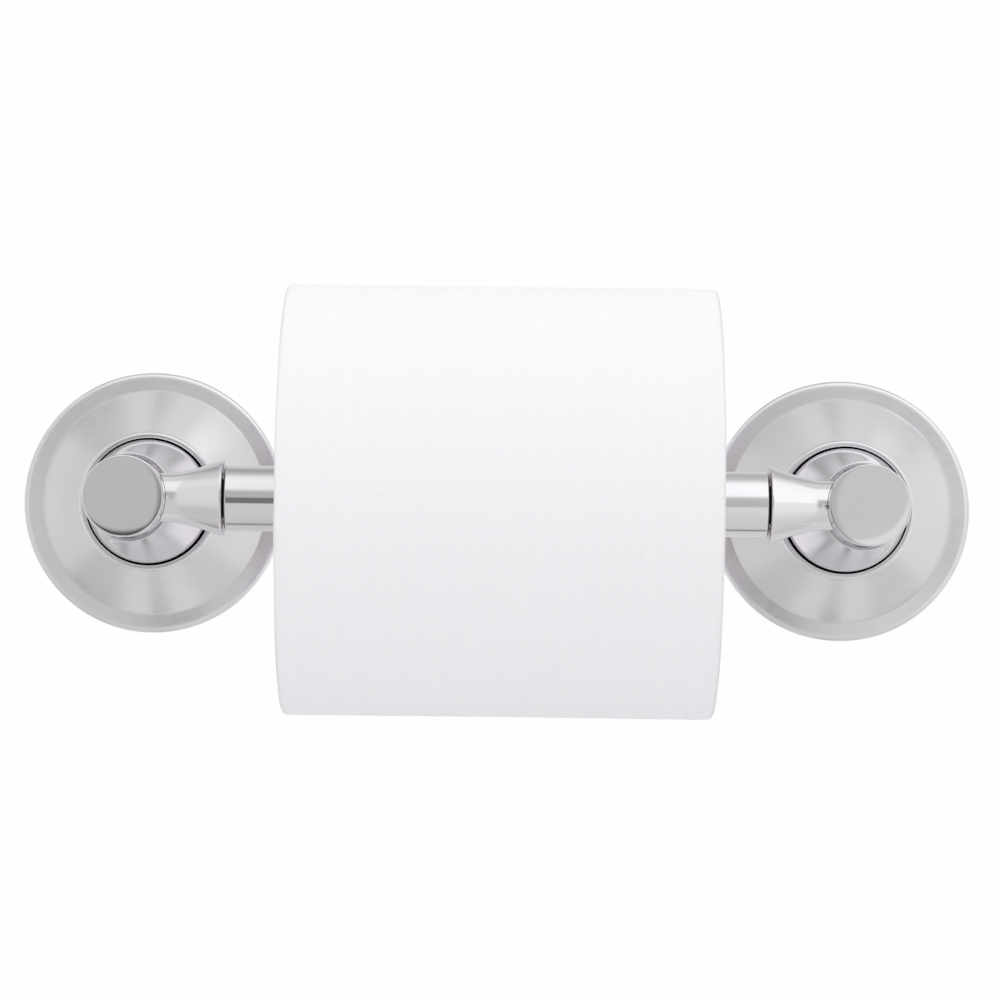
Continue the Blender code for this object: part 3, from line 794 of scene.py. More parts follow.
def anchor_mesh():
    """A nylon anchor: flush lip, saw-tooth ribs, a split tail and two fins that stop it turning."""
    ribs = []
    count = 9
    start, end = -3.4 * MM, 1.5 * MM - ANCHOR_LENGTH
    for k in range(count):
        here = start + (end - start) * k / count
        there = start + (end - start) * (k + 1) / count
        body = ANCHOR_BODY + (ANCHOR_TAIL - ANCHOR_BODY) * k / count
        ribs += [(here, body), (there + 0.5 * MM, body - 0.45 * MM), (there + 0.1 * MM, body - 0.40 * MM)]
    section = [
        (-GAP, ANCHOR_LIP - 0.2 * MM),
        (-GAP - 0.2 * MM, ANCHOR_LIP),
        (-GAP - 0.9 * MM, ANCHOR_LIP),
        (-GAP - 1.4 * MM, ANCHOR_BODY),
        *ribs,
        (-ANCHOR_LENGTH, ANCHOR_TAIL - 0.7 * MM),
        (-ANCHOR_LENGTH, ANCHOR_BORE - 0.2 * MM),
        (-8 * MM, ANCHOR_BORE),
        (-GAP - 0.6 * MM, ANCHOR_BORE),
        (-GAP, ANCHOR_BORE + 0.4 * MM),
    ]
    whole = turned("anchor", section, 64)
    half = 0.4 * MM
    slot = box_mesh("slot", (-half, -6 * MM, -ANCHOR_LENGTH - 1 * MM), (half, 6 * MM, -9 * MM))
    split = combined(whole, [(slot, Matrix())])
    fin_reach = ANCHOR_LIP - 0.2 * MM
    low, high = -12 * MM, -GAP - 0.8 * MM
    inner = ANCHOR_BORE + 0.5 * MM
    fins = [
        (box_mesh("fin", (inner, -half, low), (fin_reach, half, high)), Matrix()),
        (box_mesh("fin", (-fin_reach, -half, low), (-inner, half, high)), Matrix()),
    ]
    return combined(split, fins, "UNION")


def bolt_mesh():
    """A hexagon-head machine bolt with a rolled thread and a chamfered head."""
    head_end = BOLT_BACK + 3.8 * MM
    pitch = 1.0 * MM
    flat = BOLT_HEAD * math.cos(math.radians(30))
    shank = line((head_end + 0.2 * MM, BOLT_RADIUS), (BOLT_FRONT - 0.8 * MM, BOLT_RADIUS), 100)
    bite = thread(head_end + 1.5 * MM, BOLT_FRONT - 0.2 * MM, pitch, 0.32 * MM)

    def shape(along, radius, angle):
        if along <= head_end and radius > BOLT_RADIUS:
            chamfered = 1 - max(0.0, 1 - (along - BOLT_BACK) / (0.6 * MM)) * 0.10
            return along, hexagon(flat)(along, radius, angle)[1] * min(chamfered, radius / BOLT_HEAD)
        return bite(along, radius, angle)

    section = [
        (BOLT_BACK, 0),
        (BOLT_BACK, 0.85 * BOLT_HEAD),
        (BOLT_BACK + 0.3 * MM, BOLT_HEAD),
        (BOLT_BACK + 0.6 * MM, BOLT_HEAD),
        (head_end, BOLT_HEAD),
        (head_end, BOLT_RADIUS),
        *shank,
        (BOLT_FRONT, BOLT_RADIUS - 0.8 * MM),
        (BOLT_FRONT, 0),
    ]
    return turned("post_bolt", section, 60, shape, sharp_degrees=25)


def washer_mesh():
    """A plain washer with punched, slightly rounded edges."""
    inner = BOLT_RADIUS + GAP
    section = [(WASHER_BACK, inner), (WASHER_BACK, WASHER_RADIUS)]
    section += [(WASHER_FRONT, WASHER_RADIUS), (WASHER_FRONT, inner)]
    return turned("post_washer", eased([*section, section[0]], 0.2 * MM)[1:-1], 72)


def socket_screw_mesh(name, radius, start, end, head_start, head_radius, socket, pitch):
    """A threaded screw with a hexagon socket in its outer end, with or without a wider head."""
    rings = int((head_start - start) / pitch * 7)
    shank = line((start + 0.4 * MM, radius), (head_start - 0.05 * MM, radius), rings)
    bite = thread(start + 0.2 * MM, head_start - 0.3 * MM, pitch, 0.16 * MM + 0.06 * radius)
    floor = end - 0.9 * MM

    def shape(along, r, angle):
        if r > OUTLINE:
            return along, hexagon(socket)(along, r, angle)[1] * r
        return bite(along, r, angle)

    edge = 0.25 * MM
    section = [
        (start, 0),
        (start, radius - 0.4 * MM),
        *shank,
        (head_start, head_radius),
        (end - edge, head_radius),
        (end, head_radius - edge),
        (end, 1.08),
        (end - 0.1 * MM, 1.0),
        (floor, 1.0),
        (floor - 0.2 * MM, 0),
    ]
    return turned(name, section, 48, shape, sharp_degrees=28)


def build_post_pieces(finish):
    """Everything fixed to the wall at both posts."""
    flange = flange_mesh()
    post = post_mesh()
    cup = cup_mesh()
    plate = plate_mesh()
    wall_screw = wall_screw_mesh()
    anchor = anchor_mesh()
    bolt = bolt_mesh()
    washer = washer_mesh()
    grub_head = GRUB_OUTER - 0.3 * MM
    grub = socket_screw_mesh(
        "grub", GRUB_RADIUS, GRUB_INNER, GRUB_OUTER, grub_head, GRUB_RADIUS, socket=0.7 * MM, pitch=0.5 * MM
    )
    cap_head = COUNTERBORE_FLOOR + GAP
    cap = socket_screw_mesh(
        "cup_screw", CUP_SCREW_RADIUS, CUP_SCREW_START, CUP_SCREW_END, cap_head, CUP_SCREW_HEAD,
        socket=1.25 * MM, pitch=0.7 * MM,
    )
    for side, sign in SIDES:
        foot = Matrix.Translation((sign * POST_X, 0, 0))
        out = foot @ ALONG_OUT
        facing = out @ Matrix.Rotation(math.radians(90 + 90 * sign), 4, "Z")
        to_middle = Matrix.Rotation(math.radians(-90 * sign), 4, "Y")
        inward = foot @ Matrix.Translation((0, -ROLLER_DEPTH, 0)) @ to_middle
        down = foot @ Matrix.Translation((0, -GRUB_DEPTH, 0)) @ Matrix.Rotation(math.radians(180), 4, "X")
        for name, mesh, place, look, slot, stands_for in (
            ("flange_shell_", flange, out, "flange", "chrome", "flange_"),
            ("post_stem_", post, facing, "chrome", "chrome", "post_"),
            ("cup_trumpet_", cup, inward, "chrome", "chrome", "roller_cup_"),
            ("plate_stamping_", plate, out, "zinc", "zinc_steel", "wall_plate_"),
            ("hex_bolt_", bolt, out, "zinc", "zinc_steel", "post_bolt_"),
            ("plain_washer_", washer, out, "zinc", "zinc_steel", "post_washer_"),
            ("grub_screw_", grub, down, "zinc", "zinc_steel", "set_screw_"),
            ("socket_screw_", cap, inward, "zinc", "zinc_steel", "cup_screw_"),
        ):
            piece(name + side, mesh, place, finish[look], "wall_frame", slot, stands_for + side)
        for k, (end, up) in enumerate(ENDS):
            tag = f"{side}_{end}"
            at = foot @ Matrix.Translation((0, 0, up * SCREW_OFFSET)) @ ALONG_OUT
            turn = at @ Matrix.Rotation(math.radians(31 * (2 * k + sign)), 4, "Z")
            for name, mesh, place, look, slot, stands_for in (
                ("pan_screw_", wall_screw, turn, "zinc", "zinc_steel", "wall_screw_"),
                ("nylon_anchor_", anchor, at, "nylon", "anchor_plastic", "wall_anchor_"),
            ):
                piece(name + tag, mesh, place, finish[look], "wall_frame", slot, stands_for + tag)


# ---------------------------------------------------------------- roller


def tube_mesh():
    """A thin chrome end tube with a rolled outer edge."""
    wall = TUBE_RADIUS - TUBE_BORE
    body = line((TUBE_START, TUBE_RADIUS), (TUBE_END - wall / 2 - 0.05 * MM, TUBE_RADIUS), 6)
    roll = arc((TUBE_END - wall / 2, TUBE_RADIUS - wall / 2), (wall / 2, wall / 2), 0, 180, 10)
    return turned("end_tube", [(TUBE_START, TUBE_BORE), *body, *roll], 128)


def tip_mesh():
    """The moulded nose: a plug with crush ribs, a shoulder and a domed journal with a parting ring."""
    ease = 1.0 * MM
    plug_end = TIP_SHOULDER - ease
    ribs = 8

    def shape(along, radius, angle):
        if along < plug_end - 0.5 * MM and radius > 0.95 * PLUG_RADIUS:
            return along, radius - 0.3 * MM * (0.5 - 0.5 * math.cos(ribs * angle)) ** 2
        return along, radius

    section = [
        (TIP_START, 0),
        (TIP_START, PLUG_RADIUS - 0.5 * MM),
        (TIP_START + 0.5 * MM, PLUG_RADIUS),
        (plug_end - 1.2 * MM, PLUG_RADIUS),
        (plug_end - 0.4 * MM, PLUG_RADIUS),
        (plug_end, PLUG_RADIUS - 0.2 * MM),
        (TIP_SHOULDER - 0.1 * MM, TIP_RADIUS + 0.2 * MM),
        (TIP_SHOULDER + 0.2 * MM, TIP_RADIUS),
        (TIP_END - ease - 1.3 * MM, TIP_RADIUS),
        (TIP_END - ease - 1.15 * MM, TIP_RADIUS - 0.08 * MM),
        (TIP_END - ease - 1.0 * MM, TIP_RADIUS),
        *arc((TIP_END - ease, TIP_RADIUS - ease), (ease, ease), 0, 80, 7),
        (TIP_END, TIP_RADIUS - 1.6 * ease),
        (TIP_END - 0.3 * MM, TIP_RADIUS - 2.0 * ease),
        (TIP_END - 0.3 * MM, 0),
    ]
    return turned("end_tip", section, 64, shape)


def end_wall(side_depth):
    """Polar points for a barrel's end wall from its rim to the spigot, dense enough for ribs."""
    outer, inner = SLEEVE_RADIUS - 0.5 * MM, SPIGOT_RADIUS + 0.6 * MM
    return line((side_depth, outer), (side_depth, inner), 16)


def ribbed(end, inward):
    """A shape function that sinks pockets in a barrel's end wall, and leaves ribs between them."""
    pockets = 6
    sink = 0.9 * MM

    def shape(along, radius, angle):
        if along != end or radius >= SLEEVE_RADIUS - 0.9 * MM or radius <= SPIGOT_RADIUS + 0.8 * MM:
            return along, radius
        past_hub = (radius - SPIGOT_RADIUS - 2.2 * MM) / (0.5 * MM)
        before_rim = (SLEEVE_RADIUS - 2.2 * MM - radius) / (0.5 * MM)
        share = (angle * pockets / FULL_TURN) % 1
        off_rib = (0.5 - abs(share - 0.5)) * FULL_TURN / pockets * radius - 0.7 * MM
        depth = min(max(min(past_hub, before_rim, off_rib / (0.4 * MM)), 0.0), 1.0)
        return along + inward * sink * depth, radius

    return shape


def sleeve_mesh():
    """The outer barrel half: spigot, ribbed end wall, long cup with guide rings and a lipped mouth."""
    lip = 1.5 * MM
    wall = BARREL_HALF_LENGTH - BARREL_WALL
    start = -BARREL_HALF_LENGTH
    rings = []
    for k in range(5):
        along = start + (8 + 13 * k) * MM
        rings += [(along, SLEEVE_RADIUS), (along + 0.3 * MM, SLEEVE_RADIUS - 0.25 * MM)]
        rings += [(along + 1.7 * MM, SLEEVE_RADIUS - 0.25 * MM), (along + 2.0 * MM, SLEEVE_RADIUS)]
    section = [
        (-SPIGOT_END, 0),
        (-SPIGOT_END, SPIGOT_RADIUS - 0.5 * MM),
        (0.5 * MM - SPIGOT_END, SPIGOT_RADIUS),
        (start - 0.4 * MM, SPIGOT_RADIUS),
        *reversed(end_wall(start)),
        (start + 0.5 * MM, SLEEVE_RADIUS),
        *rings,
        (SLEEVE_MOUTH - 0.3 * MM, SLEEVE_RADIUS),
        (SLEEVE_MOUTH, SLEEVE_RADIUS - 0.3 * MM),
        (SLEEVE_MOUTH, INNER_RADIUS + 2 * GAP),
        (SLEEVE_MOUTH - 0.3 * MM, INNER_RADIUS + GAP),
        (SLEEVE_MOUTH - lip, INNER_RADIUS + GAP),
        (SLEEVE_MOUTH - lip, SLEEVE_BORE),
        (0.5 * MM - wall, SLEEVE_BORE),
        (-wall, SLEEVE_BORE - 0.5 * MM),
        (-wall, 0),
    ]
    return turned("barrel_sleeve", section, 144, ribbed(start, 1))


def plunger_mesh():
    """The inner barrel half: snap lip, smooth tube, collar, ribbed end wall and spigot."""
    lip = 1.5 * MM
    collar = BARREL_HALF_LENGTH - 4.0 * MM
    end = BARREL_HALF_LENGTH
    section = [
        (SPIGOT_END, 0),
        (SPIGOT_END, SPIGOT_RADIUS - 0.5 * MM),
        (SPIGOT_END - 0.5 * MM, SPIGOT_RADIUS),
        (end + 0.4 * MM, SPIGOT_RADIUS),
        *reversed(end_wall(end)),
        (end - 0.5 * MM, SLEEVE_RADIUS),
        (collar + 0.3 * MM, SLEEVE_RADIUS),
        (collar, SLEEVE_RADIUS - 0.3 * MM),
        (collar, INNER_RADIUS + 0.5 * MM),
        (collar - 0.5 * MM, INNER_RADIUS),
        (INNER_END + lip, INNER_RADIUS),
        (INNER_END + lip, SLEEVE_BORE - GAP),
        (INNER_END + 0.5 * MM, SLEEVE_BORE - GAP),
        (INNER_END, SLEEVE_BORE - GAP - 0.5 * MM),
        (INNER_END, INNER_BORE),
        (end - BARREL_WALL - 0.5 * MM, INNER_BORE),
        (end - BARREL_WALL, INNER_BORE - 0.5 * MM),
        (end - BARREL_WALL, 0),
    ]
    return turned("barrel_plunger", section, 144, ribbed(end, -1))


def spring_mesh():
    """A compression spring along X: round wire, open middle turns and a closed turn at each end."""
    per_turn, sides = 48, 12
    radius = half_height("roller_spring") - SPRING_WIRE
    start = SPRING_START + SPRING_WIRE
    length = SPRING_END - SPRING_START - 2 * SPRING_WIRE
    closed = 2 * SPRING_WIRE + 2 * GAP
    pitch = (length - 2 * closed) / (SPRING_TURNS - 2)
    vertices = []
    count = SPRING_TURNS * per_turn
    for k in range(count + 1):
        turn = k / per_turn
        open_turns = min(max(turn - 1, 0), SPRING_TURNS - 2)
        along = start + closed * (min(turn, 1) + max(turn - SPRING_TURNS + 1, 0)) + pitch * open_turns
        angle = FULL_TURN * turn
        for j in range(sides):
            around = FULL_TURN * j / sides
            r = radius + SPRING_WIRE * math.cos(around)
            x = along + SPRING_WIRE * math.sin(around)
            vertices.append((x, r * math.cos(angle), r * math.sin(angle)))
    faces = []
    for k in range(count):
        for j in range(sides):
            n = (j + 1) % sides
            a, b = k * sides, (k + 1) * sides
            faces.append((a + j, a + n, b + n, b + j))
    faces.append(tuple(range(sides)))
    faces.append(tuple(range(count * sides, (count + 1) * sides)))
    return finish_mesh("roller_spring", vertices, faces, 50)


def build_roller(finish):
    """The telescoping roller: two barrel halves, their end tubes and tips, and the spring."""
    axis = Matrix.Translation((0, -ROLLER_DEPTH, 0))
    along = axis @ ALONG_X
    white = finish["white"]
    piece("sleeve_half", sleeve_mesh(), along, white, "roller", "white_plastic", "barrel_sleeve")
    piece("plunger_half", plunger_mesh(), along, white, "plunger", "white_plastic", "barrel_plunger")
    tube, tip = tube_mesh(), tip_mesh()
    for side, sign in SIDES:
        body = "plunger" if sign > 0 else "roller"
        outward = axis @ Matrix.Rotation(math.radians(90 * sign), 4, "Y")
        piece("tube_" + side, tube, outward, finish["chrome"], body, "chrome", "end_tube_" + side)
        # The noses are black plastic, and their black also paints the shade in the gap at each cup's rim.
        piece("nose_" + side, tip, outward, finish["dark"], body, "dark_plastic", "end_tip_" + side)
    coil, wire = spring_mesh(), finish["wire"]
    spring = piece("coil_spring", coil, axis, wire, "roller", "spring_steel", "roller_spring")
    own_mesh(spring)


# ---------------------------------------------------------------- roll


def core_mesh():
    """The cardboard tube, a little out of round, with soft cut ends."""
    inner = CORE_RADIUS - CORE_WALL
    outer = CORE_RADIUS
    cut = 0.15 * MM
    body = line((-CORE_HALF + cut, outer), (CORE_HALF - cut, outer), 24)
    hollow = line((CORE_HALF - cut, inner), (-CORE_HALF + cut, inner), 24)
    faces_out = [(CORE_HALF, outer - cut), (CORE_HALF, (inner + outer) / 2), (CORE_HALF, inner + cut)]
    faces_back = [(-CORE_HALF, inner + cut), (-CORE_HALF, (inner + outer) / 2), (-CORE_HALF, outer - cut)]

    def shape(along, radius, angle):
        at_end = abs(along) > CORE_HALF - 0.2 * MM
        frayed = 0.12 * MM * math.sin(7 * angle + 1.3) * math.sin(3 * angle) if at_end else 0
        oval = 0.03 * MM * math.cos(2 * angle + 0.8)
        return along + math.copysign(frayed, along), radius + oval

    return turned("core", [*body, *faces_out, *hollow, *faces_back], 160, shape)


def smooth_waves(rng, u, v, count, u_turns, v_scale):
    """Seeded soft unevenness: cosines that close round the roll (u is an angle) and run along it."""
    total = np.zeros(np.broadcast(u, v).shape)
    for _ in range(count):
        k = rng.integers(u_turns[0], u_turns[1] + 1) * rng.choice((-1, 1))
        w = FULL_TURN * rng.uniform(*v_scale)
        total += np.cos(k * u + w * v + rng.uniform(0, FULL_TURN))
    return total / math.sqrt(count)


def roll_mesh():
    """The wound paper: a free edge on the back, soft creases, fine unevenness and wound end faces."""
    rng = np.random.default_rng(11)
    segments, across, layers = 448, 132, 34
    inner = CORE_RADIUS + 0.03 * MM
    edge = 0.7 * MM
    side = line((ROLL_HALF, ROLL_RADIUS - edge), (ROLL_HALF, inner), layers)
    corner = arc((ROLL_HALF - edge, ROLL_RADIUS - edge), (edge, edge), 0, 90, 3)
    outer = line((-ROLL_HALF + edge, ROLL_RADIUS), (ROLL_HALF - edge, ROLL_RADIUS), across)
    bore = line((ROLL_HALF / 2, inner), (-ROLL_HALF / 2, inner), 2)
    mirrored = [(-a, r) for a, r in reversed(side)]
    corner_back = [(-a, r) for a, r in reversed(corner)]
    section = np.array([*outer, *corner[1:-1], *side, *bore, *mirrored, *corner_back[1:-1]])
    along = section[:, 0][:, None]
    radius = section[:, 1][:, None]
    angle = (np.arange(segments) * FULL_TURN / segments)[None, :]

    outside = np.clip((radius - ROLL_RADIUS + edge) / edge, 0, 1)
    sheet = 0.28 * MM
    free_edge = math.radians(128)
    turned_past = ((angle - free_edge) / FULL_TURN) % 1
    spiral = -sheet * (1 - turned_past) ** 3
    sag = 0.10 * MM * smooth_waves(rng, angle, along, 9, (1, 5), (2, 12))
    creases = 0.030 * MM * smooth_waves(rng, angle, along, 40, (0, 7), (120, 420))
    quilt = 0.022 * MM * smooth_waves(rng, angle, along, 40, (30, 90), (90, 260))
    radial = outside * (spiral + sag + creases + quilt)

    depth_in = np.clip((ROLL_RADIUS - radius) / (ROLL_RADIUS - inner), 0, 1)
    at_side = (np.abs(along) > ROLL_HALF - 0.01 * MM) * 1.0
    wound = smooth_waves(rng, angle, radius, 26, (0, 3), (250, 620))
    uneven = smooth_waves(rng, angle, radius, 8, (1, 3), (10, 60))
    crushed = smooth_waves(rng, angle, radius, 12, (5, 16), (60, 200))
    side_shift = at_side * (0.07 * wound + 0.10 * uneven + 0.03 * crushed - 0.12 * depth_in) * MM
    fringe = np.clip(1 - (ROLL_HALF - np.abs(along)) / (4 * MM), 0, 1) ** 2
    ragged = 1 + 0.5 * smooth_waves(rng, angle, along, 10, (3, 14), (0, 1))
    radial = radial - outside * fringe * 0.12 * MM * ragged

    r = radius + radial
    a = along + np.sign(along) * side_shift
    points = np.stack([r * np.cos(angle), r * np.sin(angle), np.broadcast_to(a, r.shape)], axis=-1)
    rings = len(section)
    index = np.arange(rings * segments).reshape(rings, segments)
    here, there = index, np.roll(index, -1, axis=0)
    quads = np.stack([here, np.roll(here, -1, axis=1), np.roll(there, -1, axis=1), there], axis=-1)
    return finish_mesh("roll", points.reshape(-1, 3).tolist(), quads.reshape(-1, 4).tolist(), 60)


def build_roll(finish):
    centre = Matrix.Translation((ROLL_X, -ROLLER_DEPTH, 0)) @ ALONG_X
    piece("core_tube", core_mesh(), centre, finish["board"], "roll", "cardboard", "cardboard_core")
    piece("wound_paper", roll_mesh(), centre, finish["tissue"], "roll", "paper", "paper_roll")


# ---------------------------------------------------------------- light, floor and camera

# What polished metal mirrors: brightness round the line of the roller, as (degrees, to the left, to the
# right), with 0 in front and 90 above. The first table holds for directions nearly square to the roller,
# and the second for those well to one side.
NEAR_BANDS = (
    (-180, 0.66, 0.76),
    (-119, 0.68, 0.75),
    (-111, 0.62, 0.70),
    (-107, 0.30, 0.30),
    (-103, 0.34, 0.34),
    (-97, 0.64, 0.70),
    (-67, 0.71, 0.73),
    (-44, 0.71, 0.77),
    (-28, 0.71, 0.81),
    (-13, 0.69, 0.81),
    (-9, 0.66, 0.62),
    (-3, 0.60, 0.55),
    (6, 0.55, 0.58),
    (16, 0.54, 0.60),
    (22, 0.56, 0.72),
    (29, 0.86, 1.12),
    (35, 1.02, 1.19),
    (60, 1.08, 1.19),
    (78, 1.00, 1.16),
    (88, 0.80, 0.86),
    (96, 0.62, 0.70),
    (112, 0.44, 0.57),
    (122, 0.48, 0.55),
    (134, 0.68, 0.62),
    (152, 0.71, 0.76),
)
SIDE_BANDS = (
    (-180, 0.70, 0.78),
    (-130, 0.72, 0.78),
    (-121, 0.66, 0.78),
    (-117, 0.28, 0.70),
    (-112, 0.36, 0.62),
    (-106, 0.60, 0.66),
    (-84, 0.66, 0.73),
    (-60, 0.64, 0.78),
    (-44, 0.67, 0.85),
    (-28, 0.79, 0.95),
    (-4, 0.83, 0.99),
    (8, 0.83, 1.02),
    (13, 0.83, 1.20),
    (42, 0.85, 1.21),
    (54, 0.91, 1.20),
    (72, 0.88, 1.17),
    (84, 0.73, 1.15),
    (97, 0.70, 0.93),
    (108, 0.52, 0.68),
    (116, 0.38, 0.56),
    (128, 0.52, 0.53),
    (140, 0.68, 0.58),
    (152, 0.76, 0.76),
)
BRIGHTEST = 1.25
RING_LEFT = 0.73
RING_RIGHT = 0.84
BOARD = 1.10
LOW_FILL = 0.64
HIGH_FILL = 0.94
CAMERA_GAP = 0.21
LEFT_FACE = 0.585
LEFT_FACE_EDGE = 0.10
RIGHT_FACE = 0.70
RIGHT_FACE_EDGE = 0.88
BACKDROP = 0.990

# Where one part of the studio gives way to the next, as the start and end of each change.
NEAR_TO_SIDE = (0.36, 0.46)
SIDE_TO_RING = (0.70, 0.85)
BOARD_BEHIND = (-0.25, -0.45)
BOARD_SIDEWAYS = (0.42, 0.60)
FACE_SLANT = (3.9, 4.15)
FILL_UPWARD = (0.40, 0.66)
FILL_SIDEWAYS = (0.55, 0.92)

# Patches of the studio, as where they start, are full, stop being full and end.
DOME_SIDEWAYS = (0.078, 0.092, 0.30, 0.50)
DOME_DEGREES = (82.0, 88.0, 110.0, 120.0)
GAP_ACROSS = (-0.090, -0.078, -0.02, 0.03)
GAP_DEGREES = (-20.0, -16.0, -1.0, 5.0)
FACE_SIDEWAYS = (0.078, 0.088, 0.20, 0.24)
FACE_DEGREES = (-10.0, -8.0, 8.0, 10.0)
EDGE_ACROSS = (-0.165, -0.15, -0.07, -0.06)
EDGE_DEGREES = (-8.5, -7.5, -0.5, 0.2)


def band_levels(tree, share, bands):
    """The left and right levels of a table of bands, looked up by the share of a turn."""
    ramp = node(tree, "ValToRGB", {"Fac": share})
    stops = ramp.color_ramp.elements
    while len(stops) > 1:
        stops.remove(stops[-1])
    for k, (degrees, left, right) in enumerate(bands):
        place = degrees / 360 + 0.5
        stop = stops[0] if k == 0 else stops.new(place)
        stop.position = place
        stop.color = (left / BRIGHTEST, right / BRIGHTEST, 0, 1)
    parts = node(tree, "SeparateColor", {"Color": ramp.outputs[0]}).outputs
    return [times(tree, part, BRIGHTEST) for part in parts[:2]]


def between(tree, share, first, second):
    """A number that goes from first to second as share goes from 0 to 1."""
    return node(tree, "Mix", {0: share, 2: first, 3: second}, data_type="FLOAT").outputs[0]


def window(tree, value, limits):
    """1 between the two middle limits, falling smoothly to 0 at the outer ones."""
    start, full, full_end, end = limits
    rise = remap(tree, value, start, full, 0.0, 1.0, "SMOOTHSTEP")
    fall = remap(tree, value, full_end, end, 1.0, 0.0, "SMOOTHSTEP")
    return times(tree, rise, fall)


def studio_patch(tree, across, across_limits, degrees, degree_limits):
    """A soft-edged patch of the studio, 1 inside it."""
    first = window(tree, across, across_limits)
    return times(tree, first, window(tree, degrees, degree_limits))


def build_world():
    """The light all round: banded panels for what is mirrored, and a plain fill for matt surfaces."""
    world = bpy.data.worlds.new("studio")
    bpy.context.scene.world = world
    world.use_nodes = True
    tree = world.node_tree
    tree.nodes.clear()
    direction = node(tree, "TexCoord").outputs["Generated"]
    parts = node(tree, "SeparateXYZ", {"Vector": direction}).outputs
    across = parts["X"]
    toward = times(tree, parts["Y"], -1.0)
    angle = maths(tree, "ARCTAN2", parts["Z"], toward)
    degrees = times(tree, angle, 360 / FULL_TURN)
    share = maths(tree, "MULTIPLY_ADD", angle, 1 / FULL_TURN, 0.5)
    sideways = maths(tree, "ABSOLUTE", across)
    to_right = remap(tree, across, -0.05, 0.05, 0.0, 1.0, "SMOOTHSTEP")

    near = between(tree, to_right, *band_levels(tree, share, NEAR_BANDS))
    aside = between(tree, to_right, *band_levels(tree, share, SIDE_BANDS))
    level = between(tree, remap(tree, sideways, *NEAR_TO_SIDE, 0.0, 1.0, "SMOOTHSTEP"), near, aside)
    ring = remap(tree, across, -1.0, 1.0, RING_LEFT, RING_RIGHT)
    level = between(tree, remap(tree, sideways, *SIDE_TO_RING, 0.0, 1.0, "SMOOTHSTEP"), level, ring)
    behind = remap(tree, toward, *BOARD_BEHIND, 0.0, 1.0, "SMOOTHSTEP")
    beside = remap(tree, sideways, *BOARD_SIDEWAYS, 0.0, 1.0, "SMOOTHSTEP")
    level = between(tree, times(tree, behind, beside), level, BOARD)

    # What the flanges' domes mirror above and below them.
    domed = studio_patch(tree, sideways, DOME_SIDEWAYS, maths(tree, "ABSOLUTE", degrees), DOME_DEGREES)
    level = between(tree, domed, level, ring)

    # The dark gap beside the camera that the left end tube mirrors.
    level = between(tree, studio_patch(tree, across, GAP_ACROSS, degrees, GAP_DEGREES), level, CAMERA_GAP)

    # What the two heads' faces mirror, on each side of the camera.
    faced = studio_patch(tree, sideways, FACE_SIDEWAYS, degrees, FACE_DEGREES)
    dark_edge = studio_patch(tree, across, EDGE_ACROSS, degrees, EDGE_DEGREES)
    left_face = between(tree, dark_edge, LEFT_FACE, LEFT_FACE_EDGE)
    slant = maths(tree, "SUBTRACT", times(tree, across, 40.0), degrees)
    right_face = remap(tree, slant, *FACE_SLANT, RIGHT_FACE, RIGHT_FACE_EDGE, "SMOOTHSTEP")
    level = between(tree, faced, level, between(tree, to_right, left_face, right_face))

    # Matt surfaces are lit by a plain fill instead, and the camera sees a plain backdrop.
    upward = remap(tree, parts["Z"], *FILL_UPWARD, LOW_FILL, HIGH_FILL, "SMOOTHSTEP")
    soft = between(tree, remap(tree, sideways, *FILL_SIDEWAYS, 0.0, 1.0, "SMOOTHSTEP"), upward, LOW_FILL)
    path = node(tree, "LightPath").outputs
    level = between(tree, path["Is Glossy Ray"], soft, level)
    shown = between(tree, path["Is Camera Ray"], level, BACKDROP)
    colour = node(tree, "CombineColor", {"Red": shown, "Green": shown, "Blue": shown}).outputs[0]
    background = node(tree, "Background", {"Color": colour, "Strength": 1.0})
    output = node(tree, "OutputWorld")
    tree.links.new(background.outputs[0], output.inputs[0])


def area_light(name, place, target, size, watts):
    """A soft panel that lights the matt surfaces but isn't mirrored in the chrome."""
    light = bpy.data.lights.new(name, "AREA")
    light.shape = "RECTANGLE"
    light.size, light.size_y = size
    light.energy = watts
    made = bpy.data.objects.new(name, light)
    bpy.context.scene.collection.objects.link(made)
    made.location = place
    made.rotation_euler = (Vector(target) - Vector(place)).to_track_quat("-Z", "Y").to_euler()
    made.visible_camera = False
    made.visible_glossy = False


def build_lights():
    centre = (0, -ROLLER_DEPTH, 0)
    area_light("front_fill", (0, -1.6, 0.25), centre, (1.4, 1.2), 5.0)
    area_light("top_panel", (0, -0.5, 1.4), centre, (1.4, 1.0), 3.0)


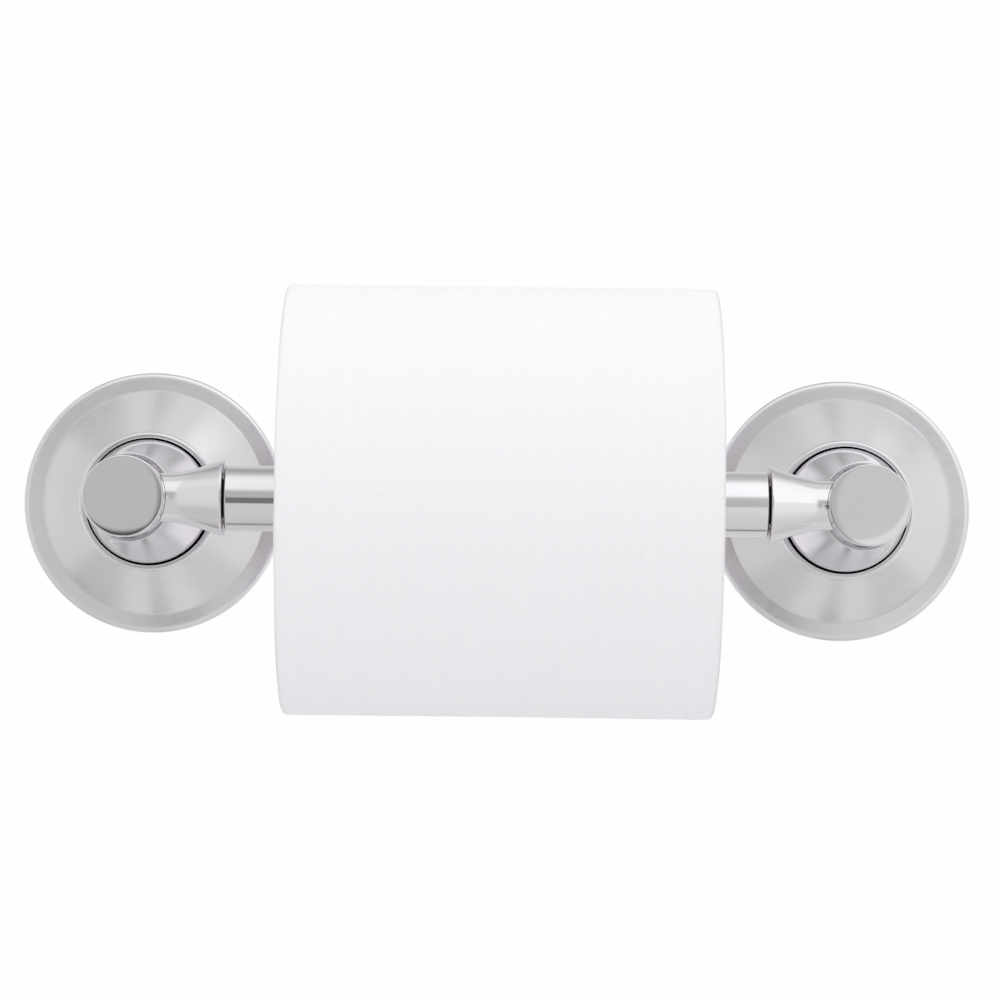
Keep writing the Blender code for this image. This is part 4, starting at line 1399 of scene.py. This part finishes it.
def build_floor():
    """A pale round floor below the object, fading out towards its edge."""
    radius, level = 1.0, -0.30
    work = bmesh.new()
    bmesh.ops.create_circle(work, cap_ends=True, segments=96, radius=radius)
    mesh = bpy.data.meshes.new("floor")
    work.to_mesh(mesh)
    work.free()
    floor = bpy.data.objects.new("floor", mesh)
    floor.location = (0, 0, level)
    bpy.context.scene.collection.objects.link(floor)
    made, tree, shader, place = new_material("pale_floor")
    parts = node(tree, "SeparateXYZ", {"Vector": place}).outputs
    distance = flat_length(tree, parts["X"], parts["Y"])
    grain = noise(tree, place, 900.0, detail=3.0)
    colour = blended(tree, grain, (0.87, 0.86, 0.875, 1), (0.91, 0.90, 0.915, 1))
    kept = remap(tree, distance, 0.35, 0.98, 1.0, 0.0, "SMOOTHSTEP")
    roughness = remap(tree, grain, 0.3, 0.7, 0.8, 0.95)
    feed(tree, shader, Base_Color=colour, Roughness=roughness, Alpha=kept)
    mesh.materials.append(made)
    floor.visible_glossy = False


def build_camera():
    """The camera, turned by yaw, pitch and roll from looking straight at the wall."""
    yaw, pitch, roll = (math.radians(d) for d in (CAMERA_YAW, CAMERA_PITCH, CAMERA_ROLL))
    ahead = Vector((-math.sin(yaw), math.cos(yaw), 0))
    right = Vector((math.cos(yaw), math.sin(yaw), 0))
    up = Vector((0, 0, 1))
    forward = math.cos(pitch) * ahead + math.sin(pitch) * up
    raised = math.cos(pitch) * up - math.sin(pitch) * ahead
    right_rolled = math.cos(roll) * right + math.sin(roll) * raised
    up_rolled = math.cos(roll) * raised - math.sin(roll) * right
    turn = Matrix((right_rolled, up_rolled, -forward)).transposed()
    lens = bpy.data.cameras.new("camera")
    lens.lens = CAMERA_LENS_MM
    lens.sensor_width = 36.0
    camera = bpy.data.objects.new("camera", lens)
    bpy.context.scene.collection.objects.link(camera)
    camera.matrix_world = Matrix.Translation(CAMERA_PLACE) @ turn.to_4x4()
    bpy.context.scene.camera = camera


build_camera()
build_world()
build_lights()
build_floor()
bpy.context.scene.view_settings.view_transform = "Standard"

finishes = {
    "chrome": chrome("bright_chrome", 0.02, 0.045, 1.5e-6),
    "flange": chrome("soft_chrome", 0.20, 0.28, 6e-6),
    "zinc": zinc(),
    "wire": spring_steel(),
    "white": plastic("white_acetal", (0.80, 0.79, 0.77, 1), (0.74, 0.73, 0.70, 1), 4200.0),
    # Black plastic for the noses, also standing in for the shade in the gap at the cup rims.
    "dark": plastic("black_acetal_gap_shade", (0.020, 0.020, 0.022, 1), (0.032, 0.031, 0.031, 1), 4200.0),
    "nylon": plastic("grey_nylon", (0.60, 0.60, 0.58, 1), (0.52, 0.52, 0.50, 1), 3000.0),
    "board": cardboard(),
    "tissue": paper(),
}
build_post_pieces(finishes)
build_roller(finishes)
build_roll(finishes)
